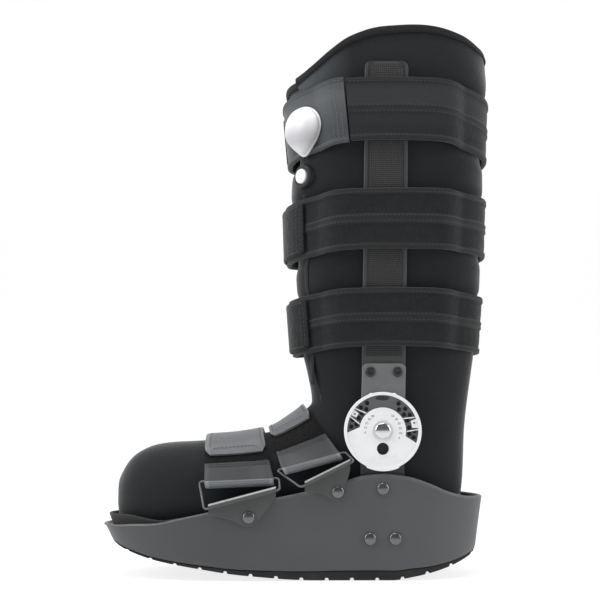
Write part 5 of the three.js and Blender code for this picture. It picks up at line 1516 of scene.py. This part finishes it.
def makeFootStrap(key, span):
    t = foot["thick"]
    under = strap["slack"] + t / 2
    over = under + t + gap
    wrap = foot["wire"] + foot["room"] + t / 2
    soft = [0, 0.03, 0.12, 0.3, 0.5, 0.7, 0.88, 0.97, 1]
    thin = [0.55, 0.9, 1, 1, 1, 1, 1, 0.9, 0.55]
    rows, marks = [], []
    hooksFrom, hooksTo = math.radians(-0.82 * span["bar"]), math.radians(-20)
    patch = math.radians(2)

    def addRow(makePoint, mark):
        outerRow = [makePoint(share, t / 2 * w) for share, w in zip(soft, thin)]
        innerRow = [makePoint(share, -t / 2 * w) for share, w in zip(soft, thin)]
        rows.append(outerRow + innerRow[::-1])
        marks.append(mark)

    def run(start, end, out, side, steps, mark):
        for i in range(steps + 1):
            angle = lerp(start, end, i / steps)
            if mark == "under":
                mark = "pile" if hooksFrom < angle < hooksTo else "under"
            elif mark == "pile" and angle > hooksTo:
                mark = "under"
            elif mark == "flap" and angle < patch:
                mark = "patch"
            addRow(lambda share, off: footPoint(lerp(span["from"], span["to"], share), angle,
                                                out + side * off), mark)

    def loop(way, start, end, mark):
        ends, down, away = upperBar(span, way)
        for turn in np.radians(np.linspace(start, end, 15)):
            reach = wrap + foot["roll"] * max(math.cos(turn - 0.8), 0) ** 2
            addRow(lambda share, off: lerp(ends[0], ends[1], share) + down * (reach + off) * math.cos(turn)
                   + away * (reach + off) * math.sin(turn), mark)

    bar, merge = math.radians(span["bar"]), math.radians(foot["merge"])
    run(-bar + merge * foot["hem"], -bar + merge, over, 1, 8, "hem")
    loop(-1, 90, -90, "fold")
    run(-bar + merge / 2, bar - merge / 2, under, -1, 60, "under")
    loop(1, -90, 90, "fold")
    run(bar - merge, -math.radians(span["end"]), over, 1, 52, "flap")
    grid = np.array(rows)
    # The flap's end is cut with two chamfers.
    spread = np.abs(np.concatenate([np.linspace(-1, 1, 9), np.linspace(1, -1, 9)]))[:, None]
    for back, pinch in enumerate((0.16, 0.11, 0.06, 0.02, 0.005)):
        row = grid[-1 - back]
        grid[-1 - back] = row + (row.mean(axis=0) - row) * pinch * spread
    steps = np.linalg.norm(np.diff(grid[:, 4], axis=0), axis=1)
    along = np.concatenate([[0], np.cumsum(steps)]) * mm
    along = np.append(along, along[-1])
    across = soft + soft[::-1] + [soft[0]]
    name = "footStrap" if key == "foot_strap" else "ankleStrap"
    # Rows round the ring's bar get a paler webbing as a painted highlight, and the flap's end a pale tab
    # webbing that is partly a painted highlight.
    zones = {"pile": 1, "fold": 2, "patch": 3}
    piece = skin(name, grid, ["webbing", "pile", "foldHighlightWebbing", "paleTabHighlightWebbing"], caps="flat", along=along,
                 across=across, slotOf=lambda r, c: zones.get(marks[r], 0), sharp=48)
    onBoot(piece, "foot_strap", key)
    flap = [i for i, mark in enumerate(marks) if mark in ("flap", "patch")]
    lines = []
    for column in (1, 7):
        line = np.array([lerp(grid[i, column], grid[i, 4], 0.12) for i in flap[4:-4]])
        inner = np.array([lerp(grid[i, 17 - column], grid[i, 13], 0.12) for i in flap[4:-4]])
        normal = line - inner
        normal /= np.linalg.norm(normal, axis=1)[:, None]
        lines.append((line + normal * 0.05, normal))
    endRow = grid[flap[-4]]
    line = np.array([lerp(endRow[1], endRow[7], s) for s in np.linspace(0.1, 0.9, 10)])
    normal = np.tile((endRow[4] - endRow[13]) / np.linalg.norm(endRow[4] - endRow[13]), (10, 1))
    lines.append((line + normal * 0.6, normal))
    onBoot(stitchesAlong(name + "Stitches", lines, "thread", 2.0, 3.0, 0.3, 0.2), "foot_strap")


def chafeLine(key, x):
    (a, low), (b, high) = chafes[key]
    a, b = xAt(a), xAt(b)
    along = (x - a) / (b - a)
    walls = [float(planHalf(lerp(a, b, s), 0, 0)) for s in (0, 1)]
    bulge = max([0] + [float(planHalf(lerp(a, b, s), 0, 0)) - lerp(*walls, s) for s in (0.25, 0.5, 0.75)])
    return lerp(*walls, along) + bulge + gap + foot["chafe"] / 2, base["height"] * lerp(low, high, along)


def makeChafe(key, way, end):
    (a, _), (b, _) = chafes[key]
    a, b = xAt(a), xAt(b)
    rivetShare, rivetHeight = shellRivets[key]
    rivetX, rivetZ = xAt(rivetShare), base["height"] * rivetHeight
    reach = rivets["arm"][0] + foot["edge"]
    left = np.linspace(a, rivetX - reach * 0.7, 14)
    middle = np.linspace(rivetX - reach * 0.7, rivetX + reach * 0.7, 9)[1:-1]
    right = np.linspace(rivetX + reach * 0.7, b, 14)
    rows = []
    thick = foot["chafe"] / 2
    for x in np.concatenate([left, middle, right]):
        out, barZ = chafeLine(key, x)
        shoulder = barZ - foot["shoulder"] - 1
        side = (x - a) / (rivetX - a) if x < rivetX else (b - x) / (b - rivetX)
        bottom = lerp(shoulder, min(rivetZ - reach, shoulder - 1), min(side * foot["tip"], 1) ** 0.9)
        line = [(0, bottom - barZ), (0, bottom - barZ + 0.5), (0, lerp(bottom - barZ, -foot["wire"], 0.5)),
                (0, -foot["wire"])]
        for turn in np.radians(np.linspace(180, -20, 14)):
            line.append((curl * (1 + math.cos(turn)), curl * math.sin(turn)))
        line = np.array(line)
        ahead = np.gradient(line, axis=0)
        ahead /= np.linalg.norm(ahead, axis=1)[:, None]
        normal = np.stack([ahead[:, 1], -ahead[:, 0]], axis=1)
        widths = np.full(len(line), thick)
        widths[0] = widths[-1] = thick * 0.5
        outer = line + normal * widths[:, None]
        inner = (line - normal * widths[:, None])[::-1]
        rows.append([(x, way * (out + o), barZ + z) for o, z in np.concatenate([outer, inner])])
    name = "chafe" + key.split("_")[0].capitalize() + end
    # The columns at the top of the curl get a pale painted highlight.
    piece = skin(name, rows, ["chafe", "bend"], caps="flat", slotOf=lambda r, c: 1 if 22 <= c <= 26 else 0,
                 sharp=38)
    onBoot(piece, "chafe", f"chafe_{key}_{end.lower()}")
    out, _ = chafeLine(key, rivetX)
    out += foot["chafe"] / 2 + gap
    rivet = rivetLook("chafeRivet" + key.split("_")[0].capitalize() + end, "arm", rivetX, out, rivetZ,
                      way, "rivet", foot["chafe"] + base["wall"])
    onBoot(rivet, "rivet", f"chafe_rivet_{key}_{end.lower()}")


def makeRing(key, span, way, end):
    (a, _), (b, _) = chafes[key]
    a, b = xAt(a) - foot["overlap"], xAt(b) + foot["overlap"]
    low = []
    for x in (a, b):
        out, barZ = chafeLine(key, x)
        low.append(np.array((x, way * (out + curl), barZ)))
    highA, highB = upperBar(span, way)[0]
    stretch = (highB - highA) / np.linalg.norm(highB - highA) * (foot["overlap"] + foot["wire"])
    corners = [low[0], low[1], highB + stretch, highA - stretch]
    points = []
    for i, corner in enumerate(corners):
        before, after = corners[i - 1], corners[(i + 1) % 4]
        r = foot["corner"]
        start = corner + (before - corner) / np.linalg.norm(before - corner) * r
        stop = corner + (after - corner) / np.linalg.norm(after - corner) * r
        for s in np.linspace(0, 1, 7):
            points.append((1 - s) ** 2 * start + 2 * s * (1 - s) * corner + s * s * stop)
        for s in np.linspace(0, 1, 8)[1:-1]:
            into = after + (corner - after) / np.linalg.norm(corner - after) * r
            points.append(lerp(stop, into, s))
    points = np.array(points)
    ahead = np.roll(points, -1, axis=0) - np.roll(points, 1, axis=0)
    ahead /= np.linalg.norm(ahead, axis=1)[:, None]
    middle = points.mean(axis=0)
    axis = np.sum(np.cross(points - middle, ahead), axis=0)
    axis /= np.linalg.norm(axis)
    across = np.cross(axis, ahead)
    across /= np.linalg.norm(across, axis=1)[:, None]
    up = np.cross(ahead, across)
    turns = np.linspace(0, 2 * pi, 12, endpoint=False)
    rows = [[p + (c * math.cos(t) + u * math.sin(t)) * foot["wireLook"] for t in turns]
            for p, c, u in zip(points, across, up)]
    name = "ring" + key.split("_")[0].capitalize() + end
    piece = skin(name, rows, ["wire"], ring=True, sharp=70)
    onBoot(piece, "ring", f"ring_{key}_{end.lower()}")


for key, span in spans.items():
    makeFootStrap(key, span)
    for side, way in sides.items():
        makeChafe(key, way, side.capitalize())
        makeRing(key, span, way, side.capitalize())
print("foot straps are made")

# Edge tape down the left flap's edge, from under the rim to the instep
edging = {"wide": 4.2, "thick": 0.7, "pressed": 0.45, "under": 1.8, "perRadian": 66}


def makeEdging():
    middle = -leg["flapEdge"] - leg["flapHalf"]
    wide, thick = edging["wide"], edging["thick"]
    profile = [(-wide, -0.2), (-wide + 0.3, thick * 0.8), (-wide * 0.5, thick), (-0.4, thick),
               (0.5, thick * 0.3), (0.9, -1.2), (0.9, -2.6), (0.2, -2.6), (0.1, -0.3)]
    heights = np.linspace(leg["instep"] + 16, float(edgeAt(middle)) - 15, 110)
    rows = []
    for z in heights:
        pressed = any(abs(z - float(strapMiddle(band, middle))) < strap["width"] / 2 + 2
                      for band in legStraps)
        # It runs under the valve, inside the liner.
        clear = float(smooth(abs(z - valveZ), valve["radius"] + 1, valve["radius"] + 5))
        row = []
        for across, out in profile:
            angle = middle + across / edging["perRadian"]
            lift = min(out, edging["pressed"]) if pressed else out
            lift = lift * clear - edging["under"] * (1 - clear)
            if not pressed:
                lift += float(linerRelief(np.array(angle), np.array(z)))
            row.append(legPoint(z, angle, lift))
        rows.append(row)
    piece = skin("flapEdging", rows, ["strapBinding"], caps="flat", sharp=50)
    onBoot(piece, "binding")


makeEdging()
print("edging is made")

# Floor, backdrop and light
studio = {"floor": 0.3, "glow": 0.8, "reach": 80, "bend": 1.2, "wall": 5, "beyond": 0.93, "world": 0.16}
# Each lamp's place, aim, size and power
lamps = {"topBox": ((-0.25, -0.2, 1.5), (-0.05, 0, 0.2), (1.2, 0.9), 17),
         "rightBox": ((1.3, -0.55, 0.7), (0, 0, 0.15), (0.7, 1.2), 11),
         "leftBox": ((-1.3, -0.5, 0.85), (-0.05, 0, 0.25), (0.7, 1.2), 15)}


def makeStage():
    s = Shade("stagePaper", roughness=0.9, specular=0.1)
    s.finish((studio["floor"],) * 3)
    s.surface.inputs["Emission Color"].default_value = (1, 1, 1, 1)
    s.surface.inputs["Emission Strength"].default_value = studio["glow"]
    bend = studio["bend"]
    profile = [(-studio["reach"], 0), (bend, 0)]
    profile += [(bend + bend * math.sin(t), bend - bend * math.cos(t)) for t in np.linspace(0, pi / 2, 16)]
    profile += [(2 * bend, studio["wall"])]
    mesh = bpy.data.meshes.new("stage")
    points = [(x, y, z - 0.0003) for y, z in profile for x in (-studio["reach"], studio["reach"])]
    faces = [(2 * i, 2 * i + 1, 2 * i + 3, 2 * i + 2) for i in range(len(profile) - 1)]
    mesh.from_pydata(points, [], faces)
    mesh.materials.append(s.material)
    mesh.polygons.foreach_set("use_smooth", [True] * len(faces))
    paper = bpy.data.objects.new("stage", mesh)
    bpy.context.scene.collection.objects.link(paper)


def lamp(name, place, aim, size, power):
    data = bpy.data.lights.new(name, "AREA")
    data.shape = "RECTANGLE"
    data.size, data.size_y = size
    data.energy = power
    lampObject = bpy.data.objects.new(name, data)
    lampObject.location = place
    lampObject.rotation_euler = (Vector(aim) - Vector(place)).to_track_quat("-Z", "Y").to_euler()
    bpy.context.scene.collection.objects.link(lampObject)


makeStage()
world = bpy.data.worlds.new("studio")
world.use_nodes = True
world.node_tree.nodes["Background"].inputs["Color"].default_value = (1, 1, 1, 1)
# The backdrop beyond the paper is as pale as the paper and lights the boot less.
path = world.node_tree.nodes.new("ShaderNodeLightPath")
strength = world.node_tree.nodes.new("ShaderNodeMapRange")
strength.inputs["To Min"].default_value = studio["world"]
strength.inputs["To Max"].default_value = studio["beyond"]
world.node_tree.links.new(path.outputs["Is Camera Ray"], strength.inputs["Value"])
world.node_tree.links.new(strength.outputs["Result"],
                          world.node_tree.nodes["Background"].inputs["Strength"])
bpy.context.scene.world = world
for name, settings in lamps.items():
    lamp(name, *settings)
bpy.context.scene.view_settings.view_transform = "Standard"
print("stage is set")
